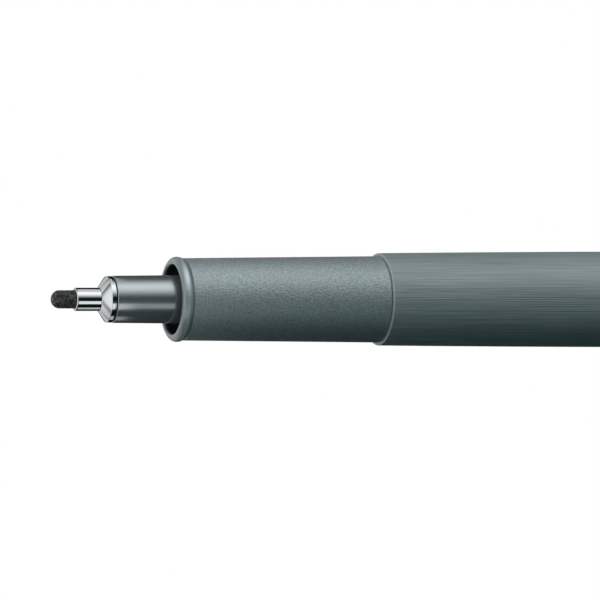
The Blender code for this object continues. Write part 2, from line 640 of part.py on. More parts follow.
def make_cap_clip(pen, parent):
    """Bent strip of spring steel: a ribbon along its centre line, thickened to a sheet."""
    path = clip_path()
    tail_depth = path[-1].y
    strip = bmesh.new()
    rows = []
    for radius, depth in path:
        share = (CLIP_DEPTH - depth) / (CLIP_DEPTH - tail_depth)
        half = (CLIP_ROOT_WIDTH + (CLIP_TIP_WIDTH - CLIP_ROOT_WIDTH) * share) / 2
        place = (radius - CLIP_PIVOT_RADIUS, depth - CLIP_DEPTH)
        rows.append([strip.verts.new((place[0], side * half, place[1])) for side in (-1, 1)])
    for row, following in zip(rows, rows[1:]):
        strip.faces.new((row[0], row[1], following[1], following[0]))
    mesh = bpy.data.meshes.new("cap_clip")
    strip.to_mesh(mesh)
    strip.free()
    clip = bpy.data.objects.new("cap_clip", mesh)
    pen.objects.link(clip)
    sheet = clip.modifiers.new("sheet", "SOLIDIFY")
    sheet.thickness = CLIP_THICKNESS
    sheet.offset = 0.0
    sheet.use_even_offset = True
    bpy.context.view_layer.update()
    settle(clip)
    clip.data.materials.clear()
    clip.data.materials.append(finish("polished_steel"))
    clip.parent = parent
    return clip


def lying_frame():
    """Placement of the pen's frame, and the roll that lets cap and clip touch the ground.

    The clip leaves the cap on the -Y side, below the axis. Its outer edge, half the clip's width
    from its middle, comes down exactly as far as the cap does.
    """
    half_width = CLIP_ROOT_WIDTH / 2
    edge_radius = math.hypot(CLIP_CREST_RADIUS, half_width)
    edge_angle = math.atan2(half_width, CLIP_CREST_RADIUS)
    roll = math.acos(CAP_MOUTH_RADIUS / edge_radius) + edge_angle
    clip_side = CLIP_CREST_RADIUS * math.sin(roll) + half_width * math.cos(roll)
    place = Vector((-POSTED_LENGTH / 2, (clip_side - CAP_MOUTH_RADIUS) / 2, CAP_MOUTH_RADIUS))
    turn = Matrix.Rotation(-roll, 4, "X") @ Matrix.Rotation(math.pi / 2, 4, "Y")
    return Matrix.Translation(place) @ turn


def new_empty(name, pen, parent=None):
    """An empty that carries pieces."""
    empty = bpy.data.objects.new(name, None)
    empty.empty_display_size = 5.0 * MM
    empty.parent = parent
    pen.objects.link(empty)
    return empty


def build():
    """Build the pen."""
    clear_scene()
    pen = new_collection("technical_pen")
    cutters = new_collection("cutters")
    axis = new_empty("pen_axis", pen)
    axis.matrix_world = lying_frame()
    cap_mouth = new_empty("cap_mouth", pen, axis)
    cap_mouth.location = (0.0, 0.0, CAP_MOUTH)
    clip_root = new_empty("clip_root", pen, cap_mouth)
    clip_root.location = (CLIP_PIVOT_RADIUS, 0.0, CLIP_DEPTH)

    make_fibre_nib(pen, axis)
    make_relay_wick(pen, axis)
    make_nib_tube(pen, axis)
    make_nib_cone(pen, axis)
    make_nib_holder(pen, axis)
    make_grip_section(pen, axis)
    make_barrel(pen, axis)
    make_reservoir_core(pen, cutters, axis)
    make_reservoir_film(pen, axis)
    make_breather_tube(pen, axis)
    make_end_plug(pen, axis)
    make_cap_shell(pen, cutters, cap_mouth)
    make_cap_inner_seal(pen, cap_mouth)
    make_cap_crown(pen, cap_mouth)
    make_cap_clip(pen, clip_root)


build()
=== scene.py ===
"""Looks of a fibre-tip technical pen that lies on its side with its cap posted on its rear end.

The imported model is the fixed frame. Every piece that shows is turned, extruded or bent again here
about the same axis, finer than the frame's own, and dressed in a procedural finish. The pieces
inside the pen stay as the frame gives them and take a finish of their own.
"""

import json
import logging
import math
import random
from dataclasses import dataclass, field, replace
from enum import Enum
from typing import Callable, Sequence, Union

import bmesh
import bpy
from mathutils import Matrix, Vector


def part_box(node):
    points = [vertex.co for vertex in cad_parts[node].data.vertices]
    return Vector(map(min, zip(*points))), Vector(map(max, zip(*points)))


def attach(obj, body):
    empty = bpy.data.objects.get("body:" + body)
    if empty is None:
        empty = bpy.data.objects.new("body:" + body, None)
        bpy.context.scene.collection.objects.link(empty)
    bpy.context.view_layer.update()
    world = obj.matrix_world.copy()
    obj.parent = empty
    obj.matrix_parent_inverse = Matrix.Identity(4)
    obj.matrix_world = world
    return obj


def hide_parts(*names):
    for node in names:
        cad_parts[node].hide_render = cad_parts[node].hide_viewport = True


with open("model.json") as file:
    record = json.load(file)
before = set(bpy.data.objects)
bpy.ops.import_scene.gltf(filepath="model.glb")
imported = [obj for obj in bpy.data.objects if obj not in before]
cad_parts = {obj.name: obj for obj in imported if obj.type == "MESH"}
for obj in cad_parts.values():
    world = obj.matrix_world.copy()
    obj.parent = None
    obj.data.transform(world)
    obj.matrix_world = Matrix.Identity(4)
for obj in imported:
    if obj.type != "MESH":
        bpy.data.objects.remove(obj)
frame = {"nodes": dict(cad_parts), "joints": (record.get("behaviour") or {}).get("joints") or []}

MM = 0.001
PRESS_FIT = 0.03 * MM
ALONG = Vector((1.0, 0.0, 0.0))
WHITE = (1.0, 1.0, 1.0)
BLACK = (0.0, 0.0, 0.0)
log = logging.getLogger("pen")

Colour = tuple[float, float, float]
Range = tuple[float, float]
Outline = list[tuple[float, float]]
Number = Union[float, "Value"]


# ---------------------------------------------------------------------------------------------
# Shader maths
# ---------------------------------------------------------------------------------------------


class Value:
    """A number that varies over a surface: a node's output with Python's own operators."""

    def __init__(self, graph: "Graph", socket: bpy.types.NodeSocket) -> None:
        """Wrap an output socket of a graph."""
        self.graph = graph
        self.socket = socket

    def _maths(self, operation: str, *numbers: Number) -> "Value":
        """A Math node on these numbers."""
        return self.graph.value("ShaderNodeMath", {"operation": operation}, *numbers)

    def __add__(self, other: Number) -> "Value":
        """Sum."""
        return self._maths("ADD", self, other)

    def __radd__(self, other: Number) -> "Value":
        """Sum, the other way round."""
        return self._maths("ADD", other, self)

    def __sub__(self, other: Number) -> "Value":
        """Difference."""
        return self._maths("SUBTRACT", self, other)

    def __rsub__(self, other: Number) -> "Value":
        """Difference, the other way round."""
        return self._maths("SUBTRACT", other, self)

    def __mul__(self, other: Number) -> "Value":
        """Product."""
        return self._maths("MULTIPLY", self, other)

    def __rmul__(self, other: Number) -> "Value":
        """Product, the other way round."""
        return self._maths("MULTIPLY", other, self)

    def __truediv__(self, other: Number) -> "Value":
        """Quotient."""
        return self._maths("DIVIDE", self, other)

    def __rtruediv__(self, other: Number) -> "Value":
        """Quotient, the other way round."""
        return self._maths("DIVIDE", other, self)

    def __pow__(self, other: Number) -> "Value":
        """Power."""
        return self._maths("POWER", self, other)

    def angle_with(self, other: "Value") -> "Value":
        """Angle in radians of the point whose height is this value and whose width is the other."""
        return self._maths("ARCTAN2", self, other)

    def size(self) -> "Value":
        """The value without its sign."""
        return self._maths("ABSOLUTE", self)

    def wave(self) -> "Value":
        """Sine of the value, moved to between 0 and 1."""
        return self._maths("SINE", self) * 0.5 + 0.5

    def blend(self, other: "Value", share: float) -> "Value":
        """This value with a share of another in its place."""
        return self * (1.0 - share) + other * share

    def ramp(self, low: float, high: float) -> "Value":
        """A smooth rise from 0 at low to 1 at high.

        Args:
            low: Where the rise starts.
            high: Where it ends; below low, the value falls instead.

        Returns:
            The share of the rise.
        """
        if low > high:
            return 1.0 - self.ramp(high, low)
        settings = {"interpolation_type": "SMOOTHSTEP"}
        return self.graph.value("ShaderNodeMapRange", settings, self, low, high, 0.0, 1.0)

    def hump(self, centre: float, width: float) -> "Value":
        """A soft hump of height 1.

        Args:
            centre: Where it is highest.
            width: How far from there it has fallen to nothing.

        Returns:
            The height of the hump.
        """
        return (self - centre).size().ramp(width, 0.0)


class Graph:
    """The nodes of one material or of the world."""

    def __init__(self, tree: bpy.types.NodeTree) -> None:
        """Start from an empty tree."""
        self.tree = tree
        tree.nodes.clear()

    def node(self, kind: str, settings: dict, *inputs: object) -> bpy.types.Node:
        """Add a node.

        Args:
            kind: The node's type.
            settings: Its own settings, which are set first.
            inputs: Values or links of its sockets in order; None leaves a socket as it is.

        Returns:
            The node.
        """
        made = self.tree.nodes.new(kind)
        for name, setting in settings.items():
            setattr(made, name, setting)
        sockets = [socket for socket in made.inputs if socket.enabled]
        for socket, given in zip(sockets, inputs):
            self.feed(socket, given)
        return made

    def feed(self, socket: bpy.types.NodeSocket, given: object) -> None:
        """Set or link one socket.

        Args:
            socket: The input to feed.
            given: A value, a colour, a node, an output, or None to leave it.
        """
        if given is None:
            return
        if isinstance(given, Value):
            self.tree.links.new(given.socket, socket)
        elif isinstance(given, bpy.types.NodeSocket):
            self.tree.links.new(given, socket)
        elif isinstance(given, bpy.types.Node):
            self.tree.links.new(given.outputs[0], socket)
        elif socket.type == "RGBA":
            socket.default_value = (*given, 1.0)
        else:
            socket.default_value = given

    def value(self, kind: str, settings: dict, *inputs: object) -> Value:
        """The first output of a new node, as a value."""
        made = self.node(kind, settings, *inputs)
        return Value(self, next(socket for socket in made.outputs if socket.enabled))

    def parts(self, vector: object) -> tuple[Value, ...]:
        """The three parts of a vector."""
        split = self.node("ShaderNodeSeparateXYZ", {}, vector)
        return tuple(Value(self, socket) for socket in split.outputs)

    def mix(self, share: Number, first: object, second: object) -> bpy.types.NodeSocket:
        """A colour between two.

        Args:
            share: 0 gives the first colour and 1 the second.
            first: A colour or a link.
            second: A colour or a link.

        Returns:
            The mixed colour.
        """
        made = self.node("ShaderNodeMix", {"data_type": "RGBA"}, share, first, second)
        return next(socket for socket in made.outputs if socket.enabled)


# ---------------------------------------------------------------------------------------------
# The pen's axis, and the tools that shape pieces about it
# ---------------------------------------------------------------------------------------------


@dataclass(frozen=True)
class Axis:
    """The pen's axis: it runs along X, at one height and one distance from the middle."""

    y: float
    z: float

    @classmethod
    def of_node(cls, node: str) -> "Axis":
        """The axis of a turned node of the frame."""
        low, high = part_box(node)
        return cls((low.y + high.y) / 2, (low.z + high.z) / 2)

    def point(self, x: float) -> Vector:
        """The point of the axis at x."""
        return Vector((x, self.y, self.z))

    def distance(self, place: Vector) -> float:
        """How far a place is from the axis."""
        return math.hypot(place.y - self.y, place.z - self.z)


AXIS = Axis.of_node("barrel")


def span(node: str) -> tuple[float, float]:
    """Where a node of the frame starts and ends along the pen."""
    low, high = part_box(node)
    return low.x, high.x


def arc(centre: tuple[float, float], half_width: float, half_length: float,
        start: float, end: float, steps: int) -> Outline:
    """Points of an elliptical arc of an outline.

    Args:
        centre: Radius and place along the pen of its centre.
        half_width: Half its width, across the pen.
        half_length: Half its length, along the pen.
        start: Angle in degrees of its first point; 0 points outwards and -90 to the nib.
        end: Angle of its last point.
        steps: How many straight steps it has.

    Returns:
        Points as (radius, place along the pen).
    """
    angles = (math.radians(start + (end - start) * step / steps) for step in range(steps + 1))
    return [(centre[0] + half_width * math.cos(angle), centre[1] + half_length * math.sin(angle))
            for angle in angles]


def eased(outline: Outline, corners: Sequence[tuple[int, float]], steps: int = 3) -> Outline:
    """An outline with some of its corners rounded.

    Args:
        outline: Its points.
        corners: The number of each corner, and how far from it the rounding starts.
        steps: How many straight steps each rounding has.

    Returns:
        The outline with those corners replaced by curves.
    """
    sizes = dict(corners)
    result: Outline = []
    for number, corner in enumerate(outline):
        if number not in sizes:
            result.append(corner)
            continue
        here = Vector(corner)
        before = Vector(outline[number - 1])
        after = Vector(outline[(number + 1) % len(outline)])
        start = here + (before - here).normalized() * sizes[number]
        end = here + (after - here).normalized() * sizes[number]
        for step in range(steps + 1):
            share = step / steps
            place = start.lerp(here, share).lerp(here.lerp(end, share), share)
            result.append((place.x, place.y))
    return result


class Workbench:
    """Modelling by operators, on one piece at a time."""

    SMOOTH_BELOW = math.radians(32.0)
    MERGE = 1.5e-6

    @staticmethod
    def clear() -> None:
        """Leave nothing selected."""
        bpy.ops.object.select_all(action="DESELECT")

    @staticmethod
    def edit() -> None:
        """Start editing the active piece, by its vertices."""
        bpy.ops.object.mode_set(mode="EDIT")
        bpy.ops.mesh.select_mode(type="VERT")

    @staticmethod
    def leave() -> None:
        """Stop editing."""
        bpy.ops.object.mode_set(mode="OBJECT")

    @classmethod
    def take(cls, piece: bpy.types.Object) -> None:
        """Make a piece the only one that is selected, and the active one.

        Args:
            piece: The piece.
        """
        cls.clear()
        piece.select_set(True)
        bpy.context.view_layer.objects.active = piece

    @staticmethod
    def select(wanted: Callable[[bmesh.types.BMVert], bool]) -> None:
        """Select vertices of the piece that is being edited.

        Args:
            wanted: Says whether a vertex is selected.
        """
        mesh = bmesh.from_edit_mesh(bpy.context.edit_object.data)
        for vertex in mesh.verts:
            vertex.select = wanted(vertex)
        mesh.select_flush_mode()
        bmesh.update_edit_mesh(bpy.context.edit_object.data)

    @classmethod
    def apply_modifier(cls, piece: bpy.types.Object, kind: str, **settings: object) -> None:
        """Add a modifier and apply it.

        Args:
            piece: The piece to change.
            kind: The modifier's type.
            settings: Its settings.
        """
        cls.take(piece)
        modifier = piece.modifiers.new(kind.lower(), kind)
        for name, setting in settings.items():
            setattr(modifier, name, setting)
        bpy.ops.object.modifier_apply(modifier=modifier.name)

    @classmethod
    def settle(cls, piece: bpy.types.Object) -> None:
        """Put a piece's place into its mesh and shade it smooth between its real edges.

        Args:
            piece: The piece.
        """
        cls.take(piece)
        bpy.ops.object.transform_apply(location=True, rotation=True, scale=True)
        bpy.ops.object.shade_smooth_by_angle(angle=cls.SMOOTH_BELOW)

    @classmethod
    def turn(cls, name: str, outline: Outline, sides: int, closed: bool) -> bpy.types.Object:
        """A turned piece: a circle that is extruded and resized from point to point.

        Args:
            name: Name of the piece.
            outline: Points as (radius, place along the pen). A radius of 0 stands only at an end.
            sides: Number of sides.
            closed: Whether the outline runs back to its start, as on a sleeve.

        Returns:
            The piece.
        """
        cls.clear()
        starts_solid = outline[0][0] == 0.0
        rings = outline[1:] if starts_solid else list(outline)
        if closed:
            rings.append(rings[0])
        radius, x = rings[0]
        bpy.ops.mesh.primitive_circle_add(
            vertices=sides, radius=radius, fill_type="TRIFAN" if starts_solid else "NOTHING",
            location=AXIS.point(x), rotation=(0.0, math.pi / 2, 0.0))
        piece = bpy.context.active_object
        piece.name = piece.data.name = name
        bpy.ops.object.transform_apply(location=True, rotation=True, scale=True)
        cls.edit()
        bpy.ops.mesh.select_all(action="SELECT")
        if starts_solid:
            bpy.ops.mesh.region_to_loop()
        for next_radius, next_x in rings[1:]:
            bpy.ops.mesh.extrude_edges_move(
                TRANSFORM_OT_translate={"value": (next_x - x, 0.0, 0.0)})
            if next_radius == 0.0:
                bpy.ops.mesh.merge(type="CENTER")
            elif next_radius != radius:
                scale = next_radius / radius
                bpy.ops.transform.resize(value=(1.0, scale, scale),
                                         center_override=AXIS.point(next_x))
            radius, x = next_radius, next_x
        bpy.ops.mesh.select_all(action="SELECT")
        if closed:
            bpy.ops.mesh.remove_doubles(threshold=cls.MERGE)
        bpy.ops.mesh.normals_make_consistent(inside=False)
        cls.leave()
        cls.settle(piece)
        return piece


class Body(Enum):
    """The bodies of the frame."""

    PEN = "pen"
    CAP = "cap"
    CLIP = "clip"


def place(piece: bpy.types.Object, body: Body, node: str, slot: str,
          finish: bpy.types.Material) -> None:
    """Dress a new piece, let it stand for a node and ride on its body.

    Args:
        piece: The piece.
        body: The body that it moves with.
        node: The node of the frame that it stands for.
        slot: The record's material slot. Not used.
        finish: Its material.
    """
    piece.data.materials.clear()
    piece.data.materials.append(finish)
    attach(piece, body.value)
    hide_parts(node)
    log.info("%s: %d faces, on %s", piece.name, len(piece.data.polygons), body.value)


# ---------------------------------------------------------------------------------------------
# Finishes
# ---------------------------------------------------------------------------------------------


@dataclass(frozen=True)
class Lumps:
    """The length and width of a noise's lumps along and across the pen, in mm, and its fineness."""

    along: float
    across: float
    detail: float = 2.0
    roughness: float = 0.5


@dataclass(frozen=True)
class Finish:
    """A finish. Its patterns are read in millimetres from the pen's axis."""

    name: str = "finish"
    colour: Colour = (0.5, 0.5, 0.5)
    metallic: float = 0.0
    roughness: float = 0.5

    def material(self) -> bpy.types.Material:
        """The finish as a material, made once.

        Returns:
            The material.
        """
        made = bpy.data.materials.get(f"{self.name}_finish")
        if made is None:
            made = bpy.data.materials.new(f"{self.name}_finish")
            made.use_nodes = True
            graph = Graph(made.node_tree)
            shader = graph.node("ShaderNodeBsdfPrincipled", {})
            shader.inputs["Base Color"].default_value = (*self.colour, 1.0)
            shader.inputs["Metallic"].default_value = self.metallic
            shader.inputs["Roughness"].default_value = self.roughness
            self.dress(graph, shader)
            graph.node("ShaderNodeOutputMaterial", {}, shader)
            made.diffuse_color = (*self.colour, 1.0)
        return made

    def dress(self, graph: Graph, shader: bpy.types.Node) -> None:
        """Add what varies over the surface."""

    @staticmethod
    def position(graph: Graph, along: float = 1.0, across: float = 1.0) -> bpy.types.Node:
        """Place from the pen's axis.

        Args:
            graph: The finish's graph.
            along: Length of a unit along the pen, in millimetres.
            across: Length of a unit across the pen, in millimetres.

        Returns:
            The place, in these units.
        """
        texture = graph.node("ShaderNodeTexCoord", {})
        unit = (along * MM, across * MM, across * MM)
        start = (0.0, -AXIS.y / unit[1], -AXIS.z / unit[2])
        return graph.node("ShaderNodeMapping", {}, texture.outputs["Object"], start,
                          (0.0, 0.0, 0.0), tuple(1 / size for size in unit))

    def noise(self, graph: Graph, lumps: Lumps) -> Value:
        """Soft noise between 0 and 1, in lumps of this size."""
        where = self.position(graph, lumps.along, lumps.across)
        return graph.value("ShaderNodeTexNoise", {}, where, 1.0, lumps.detail, lumps.roughness)

    def bump(self, graph: Graph, shader: bpy.types.Node, height: Value, depth: float) -> None:
        """Let a height between 0 and 1 raise the surface.

        Args:
            graph: The finish's graph.
            shader: Its shader.
            height: The height.
            depth: How high 1 stands, in millimetres.
        """
        made = graph.node("ShaderNodeBump", {})
        graph.feed(made.inputs["Height"], height)
        made.inputs["Strength"].default_value = 1.0
        made.inputs["Distance"].default_value = depth * MM
        graph.feed(shader.inputs["Normal"], made)


@dataclass(frozen=True)
class InkedFibre(Finish):
    """Compressed fibre, soaked with dark ink."""

    name: str = "inked_fibre"
    colour: Colour = (0.006, 0.0065, 0.007)
    pale: Colour = (0.072, 0.076, 0.077)
    roughness: float = 0.6
    shine: float = 0.15
    felt: Lumps = Lumps(0.16, 0.16, 3.0, 0.6)
    tufts: Lumps = Lumps(0.5, 0.4, 1.0)
    tuft_share: float = 0.4
    contrast: Range = (0.40, 0.64)
    depth: float = 0.04

    def dress(self, graph: Graph, shader: bpy.types.Node) -> None:
        """Mottled colour and a felted surface.

        Args:
            graph: The finish's graph.
            shader: Its shader.
        """
        felt = self.noise(graph, self.felt)
        mottle = felt.blend(self.noise(graph, self.tufts), self.tuft_share).ramp(*self.contrast)
        graph.feed(shader.inputs["Base Color"], graph.mix(mottle, self.colour, self.pale))
        shader.inputs["Specular IOR Level"].default_value = self.shine
        self.bump(graph, shader, felt, self.depth)


@dataclass(frozen=True)
class BondedFibre(Finish):
    """White bonded polyester fibre."""

    name: str = "bonded_fibre"
    colour: Colour = (0.70, 0.71, 0.71)
    shade: Colour = (0.46, 0.47, 0.48)
    roughness: float = 0.9
    strands: Lumps = Lumps(2.4, 0.09)
    contrast: Range = (0.35, 0.6)
    depth: float = 0.05

    def dress(self, graph: Graph, shader: bpy.types.Node) -> None:
        """Strands that run along the pen.

        Args:
            graph: The finish's graph.
            shader: Its shader.
        """
        strands = self.noise(graph, self.strands)
        graph.feed(shader.inputs["Base Color"],
                   graph.mix(strands.ramp(*self.contrast), self.shade, self.colour))
        self.bump(graph, shader, strands, self.depth)


class Grain(Enum):
    """Which way the fine lines of a metal run."""

    ALONG = "along"
    ROUND = "round"


@dataclass(frozen=True)
class Steel(Finish):
    """Bright metal with very fine working lines."""

    name: str = "polished_steel"
    colour: Colour = (0.387, 0.39, 0.393)
    metallic: float = 1.0
    roughness: float = 0.07
    rougher: float = 0.05
    grain: Grain = Grain.ROUND
    line: float = 0.03
    run_round: float = 3.0
    run_along: float = 6.0
    haze: Lumps = Lumps(0.9, 0.9)
    haze_share: float = 0.5
    depth: float = 0.0004

    def dress(self, graph: Graph, shader: bpy.types.Node) -> None:
        """Lines of turning or drawing, and a faint haze.

        Args:
            graph: The finish's graph.
            shader: Its shader.
        """
        if self.grain is Grain.ROUND:
            lines = self.noise(graph, Lumps(self.line, self.run_round))
        else:
            lines = self.noise(graph, Lumps(self.run_along, self.line))
        uneven = lines.blend(self.noise(graph, self.haze), self.haze_share)
        graph.feed(shader.inputs["Roughness"],
                   uneven * (2 * self.rougher) + (self.roughness - self.rougher))
        self.bump(graph, shader, lines, self.depth)


@dataclass(frozen=True)
class Slate(Finish):
    """Slate-grey moulded plastic with a little pearl pigment. This is the smooth, glossy grade."""

    name: str = "slate_gloss"
    colour: Colour = (0.246, 0.277, 0.286)
    metallic: float = 0.76
    roughness: float = 0.22
    uneven: float = 0.05
    cloud: float = 0.08
    warmth: Colour = (1.035, 0.985, 1.0)
    patches: Lumps = Lumps(3.6, 1.5)
    patch_edge: Range = (0.42, 0.62)
    flow: Lumps = Lumps(2.2, 1.1)
    specks: Lumps = Lumps(0.07, 0.07, 1.0)
    speck_tint: float = 0.4
    speck_height: float = 0.3
    depth: float = 0.0006

    def tint(self, graph: Graph, strength: Value) -> bpy.types.NodeSocket:
        """The colour, varied a little, with warmer patches where the pigment flowed thinner.

        Args:
            graph: The finish's graph.
            strength: 0 for the darker side of the colour and 1 for the lighter.

        Returns:
            The varied colour.
        """
        shades = []
        for warmth in (WHITE, self.warmth):
            dark, light = (tuple(part * share * warm for part, warm in zip(self.colour, warmth))
                           for share in (1.0 - self.cloud, 1.0 + self.cloud))
            shades.append(graph.mix(strength, dark, light))
        return graph.mix(self.noise(graph, self.patches).ramp(*self.patch_edge), *shades)

    def dress(self, graph: Graph, shader: bpy.types.Node) -> None:
        """Flow clouds of the pigment, and the faint unevenness of a moulded surface.

        Args:
            graph: The finish's graph.
            shader: Its shader.
        """
        flow, specks = self.noise(graph, self.flow), self.noise(graph, self.specks)
        graph.feed(shader.inputs["Base Color"],
                   self.tint(graph, flow.blend(specks, self.speck_tint)))
        graph.feed(shader.inputs["Roughness"], (flow - 0.5) * self.uneven + self.roughness)
        self.bump(graph, shader, flow.blend(specks, self.speck_height), self.depth)


@dataclass(frozen=True)
class GrainedSlate(Slate):
    """The same plastic out of a spark-eroded mould: a fine pebbly grain."""

    name: str = "slate_grained"
    colour: Colour = (0.234, 0.286, 0.297)
    metallic: float = 0.43
    roughness: float = 0.46
    uneven: float = 0.2
    cloud: float = 0.28
    pebbles: Lumps = Lumps(0.17, 0.17, 2.0, 0.6)
    glints: Lumps = Lumps(0.06, 0.06, 1.0)
    glint_share: float = 0.4
    contrast: Range = (0.34, 0.66)
    depth: float = 0.06
    front: float = 0.0
    bead: float = 1.05
    bead_calm: float = 0.75
    bead_even: float = 0.6
    bead_gloss: float = 0.12
    # Painted highlight: a light stripe along the lip's ridge, where it is centred, how wide it is
    # and how strongly it shows.
    ridge: float = 0.62
    ridge_width: float = 0.5
    ridge_highlight: float = 0.8
    mouth: float = 3.56
    border: float = 0.08
    # Painted shade on the wall inside the mouth: it darkens to the shade colour between these
    # depths behind the front.
    shade_from: float = 0.05
    shade_full: float = 0.4
    shade: Colour = (0.018, 0.024, 0.025)
    # Painted shade: the whole lip takes this darker colour, and only the painted highlight stripe
    # along its ridge lifts it.
    edge: Colour = (0.120, 0.150, 0.156)
    # Painted highlight: the light colour of the stripe along the lip's ridge.
    painted_highlight: Colour = (0.41, 0.48, 0.495)

    def dress(self, graph: Graph, shader: bpy.types.Node) -> None:
        """Pebbles in height, colour and sheen; a smoother lip with painted shade over it and a
        painted highlight stripe along its ridge, and painted shade on the wall in the mouth.

        Args:
            graph: The finish's graph.
            shader: Its shader.
        """
        x, y, z = graph.parts(self.position(graph))
        x = x - self.front
        pebbles, glints = self.noise(graph, self.pebbles), self.noise(graph, self.glints)
        lip = x.ramp(self.bead + self.border, self.bead)
        inside = (y * y + z * z).ramp((self.mouth + self.border) ** 2, self.mouth ** 2)
        painted_mouth_shade = inside * x.ramp(self.shade_from, self.shade_full)
        grain = pebbles.blend(glints, self.glint_share).ramp(*self.contrast)
        varied = self.tint(graph, (grain - 0.5) * (1.0 - lip * self.bead_even) + 0.5)
        # Painted shade: the lip is darkened towards the edge colour.
        rolled = graph.mix(lip * self.bead_calm, varied, self.edge)
        # Painted highlight: a light stripe along the middle of the lip.
        highlight_stripe = x.hump(self.ridge, self.ridge_width) * self.ridge_highlight
        highlighted = graph.mix(highlight_stripe, rolled, self.painted_highlight)
        # Painted shade on the wall inside the mouth, over the lip and the rest of the grip.
        graph.feed(shader.inputs["Base Color"], graph.mix(painted_mouth_shade, highlighted, self.shade))
        graph.feed(shader.inputs["Roughness"],
                   (glints - 0.5) * self.uneven + self.roughness - lip * self.bead_gloss)
        self.bump(graph, shader, pebbles * (1.0 - lip * self.bead_calm), self.depth)


@dataclass(frozen=True)
class DrawnSlate(Slate):
    """The same plastic with fine lengthwise lines."""

    name: str = "slate_brushed"
    colour: Colour = (0.189, 0.236, 0.246)
    metallic: float = 0.16
    roughness: float = 0.5
    uneven: float = 0.16
    cloud: float = 0.2
    lines: Lumps = Lumps(14.0, 0.20)
    hairs: Lumps = Lumps(5.6, 0.10, 1.0)
    drift: Lumps = Lumps(14.0, 1.5, 1.0)
    drift_turn: float = 6.0
    count: float = 130.0
    line_share: float = 0.45
    hair_share: float = 0.3
    groove_share: float = 0.14
    contrast: Range = (0.36, 0.64)
    depth: float = 0.04
    front: float = 0.0
    # Painted highlight along the barrel's front rim: its width, its soft border and how strongly it
    # shows.
    rim: float = 0.08
    rim_border: float = 0.05
    rim_highlight: float = 0.85
    # Painted highlight: the light colour of the barrel's front rim.
    painted_highlight: Colour = (0.31, 0.37, 0.38)

    def dress(self, graph: Graph, shader: bpy.types.Node) -> None:
        """Broken lines of different lengths, in height and colour, and a painted highlight along
        the front rim.

        Args:
            graph: The finish's graph.
            shader: Its shader.
        """
        x, y, z = graph.parts(self.position(graph))
        lines, hairs = self.noise(graph, self.lines), self.noise(graph, self.hairs)
        drift = self.noise(graph, self.drift) * self.drift_turn
        grooves = (z.angle_with(y) * self.count + drift).wave()
        missing = 1.0 - self.line_share - self.hair_share - self.groove_share
        height = (lines * self.line_share + hairs * self.hair_share
                  + grooves * self.groove_share + missing / 2)
        # Painted highlight: a light band along the barrel's front rim.
        edge = (x - self.front).ramp(self.rim + self.rim_border, self.rim) * self.rim_highlight
        varied = self.tint(graph, height.ramp(*self.contrast))
        graph.feed(shader.inputs["Base Color"], graph.mix(edge, varied, self.painted_highlight))
        graph.feed(shader.inputs["Roughness"], (lines - 0.5) * self.uneven + self.roughness)
        self.bump(graph, shader, height, self.depth)


@dataclass(frozen=True)
class Milky(Finish):
    """Unpigmented moulded plastic."""

    name: str = "natural_plastic"
    colour: Colour = (0.66, 0.67, 0.655)
    pale: Colour = (0.713, 0.724, 0.707)
    roughness: float = 0.38
    uneven: float = 0.12
    cloud: Lumps = Lumps(1.6, 1.2)
    depth: float = 0.004

    def dress(self, graph: Graph, shader: bpy.types.Node) -> None:
        """Slightly cloudy.

        Args:
            graph: The finish's graph.
            shader: Its shader.
        """
        cloud = self.noise(graph, self.cloud)
        graph.feed(shader.inputs["Base Color"], graph.mix(cloud, self.colour, self.pale))
        graph.feed(shader.inputs["Roughness"], (cloud - 0.5) * self.uneven + self.roughness)
        self.bump(graph, shader, cloud, self.depth)


@dataclass(frozen=True)
class ClearFilm(Finish):
    """Thin clear film with fine creases."""

    name: str = "clear_film"
    colour: Colour = (0.80, 0.82, 0.83)
    roughness: float = 0.16
    creases: Lumps = Lumps(9.0, 0.5)
    contrast: Range = (0.3, 0.7)
    clearest: float = 0.35
    crease_cover: float = 0.25
    depth: float = 0.03

    def dress(self, graph: Graph, shader: bpy.types.Node) -> None:
        """Half clear, with creases along the pen.

        Args:
            graph: The finish's graph.
            shader: Its shader.
        """
        creases = self.noise(graph, self.creases)
        graph.feed(shader.inputs["Alpha"],
                   creases.ramp(*self.contrast) * self.crease_cover + self.clearest)
        self.bump(graph, shader, creases, self.depth)


# ---------------------------------------------------------------------------------------------
# The pen
# ---------------------------------------------------------------------------------------------


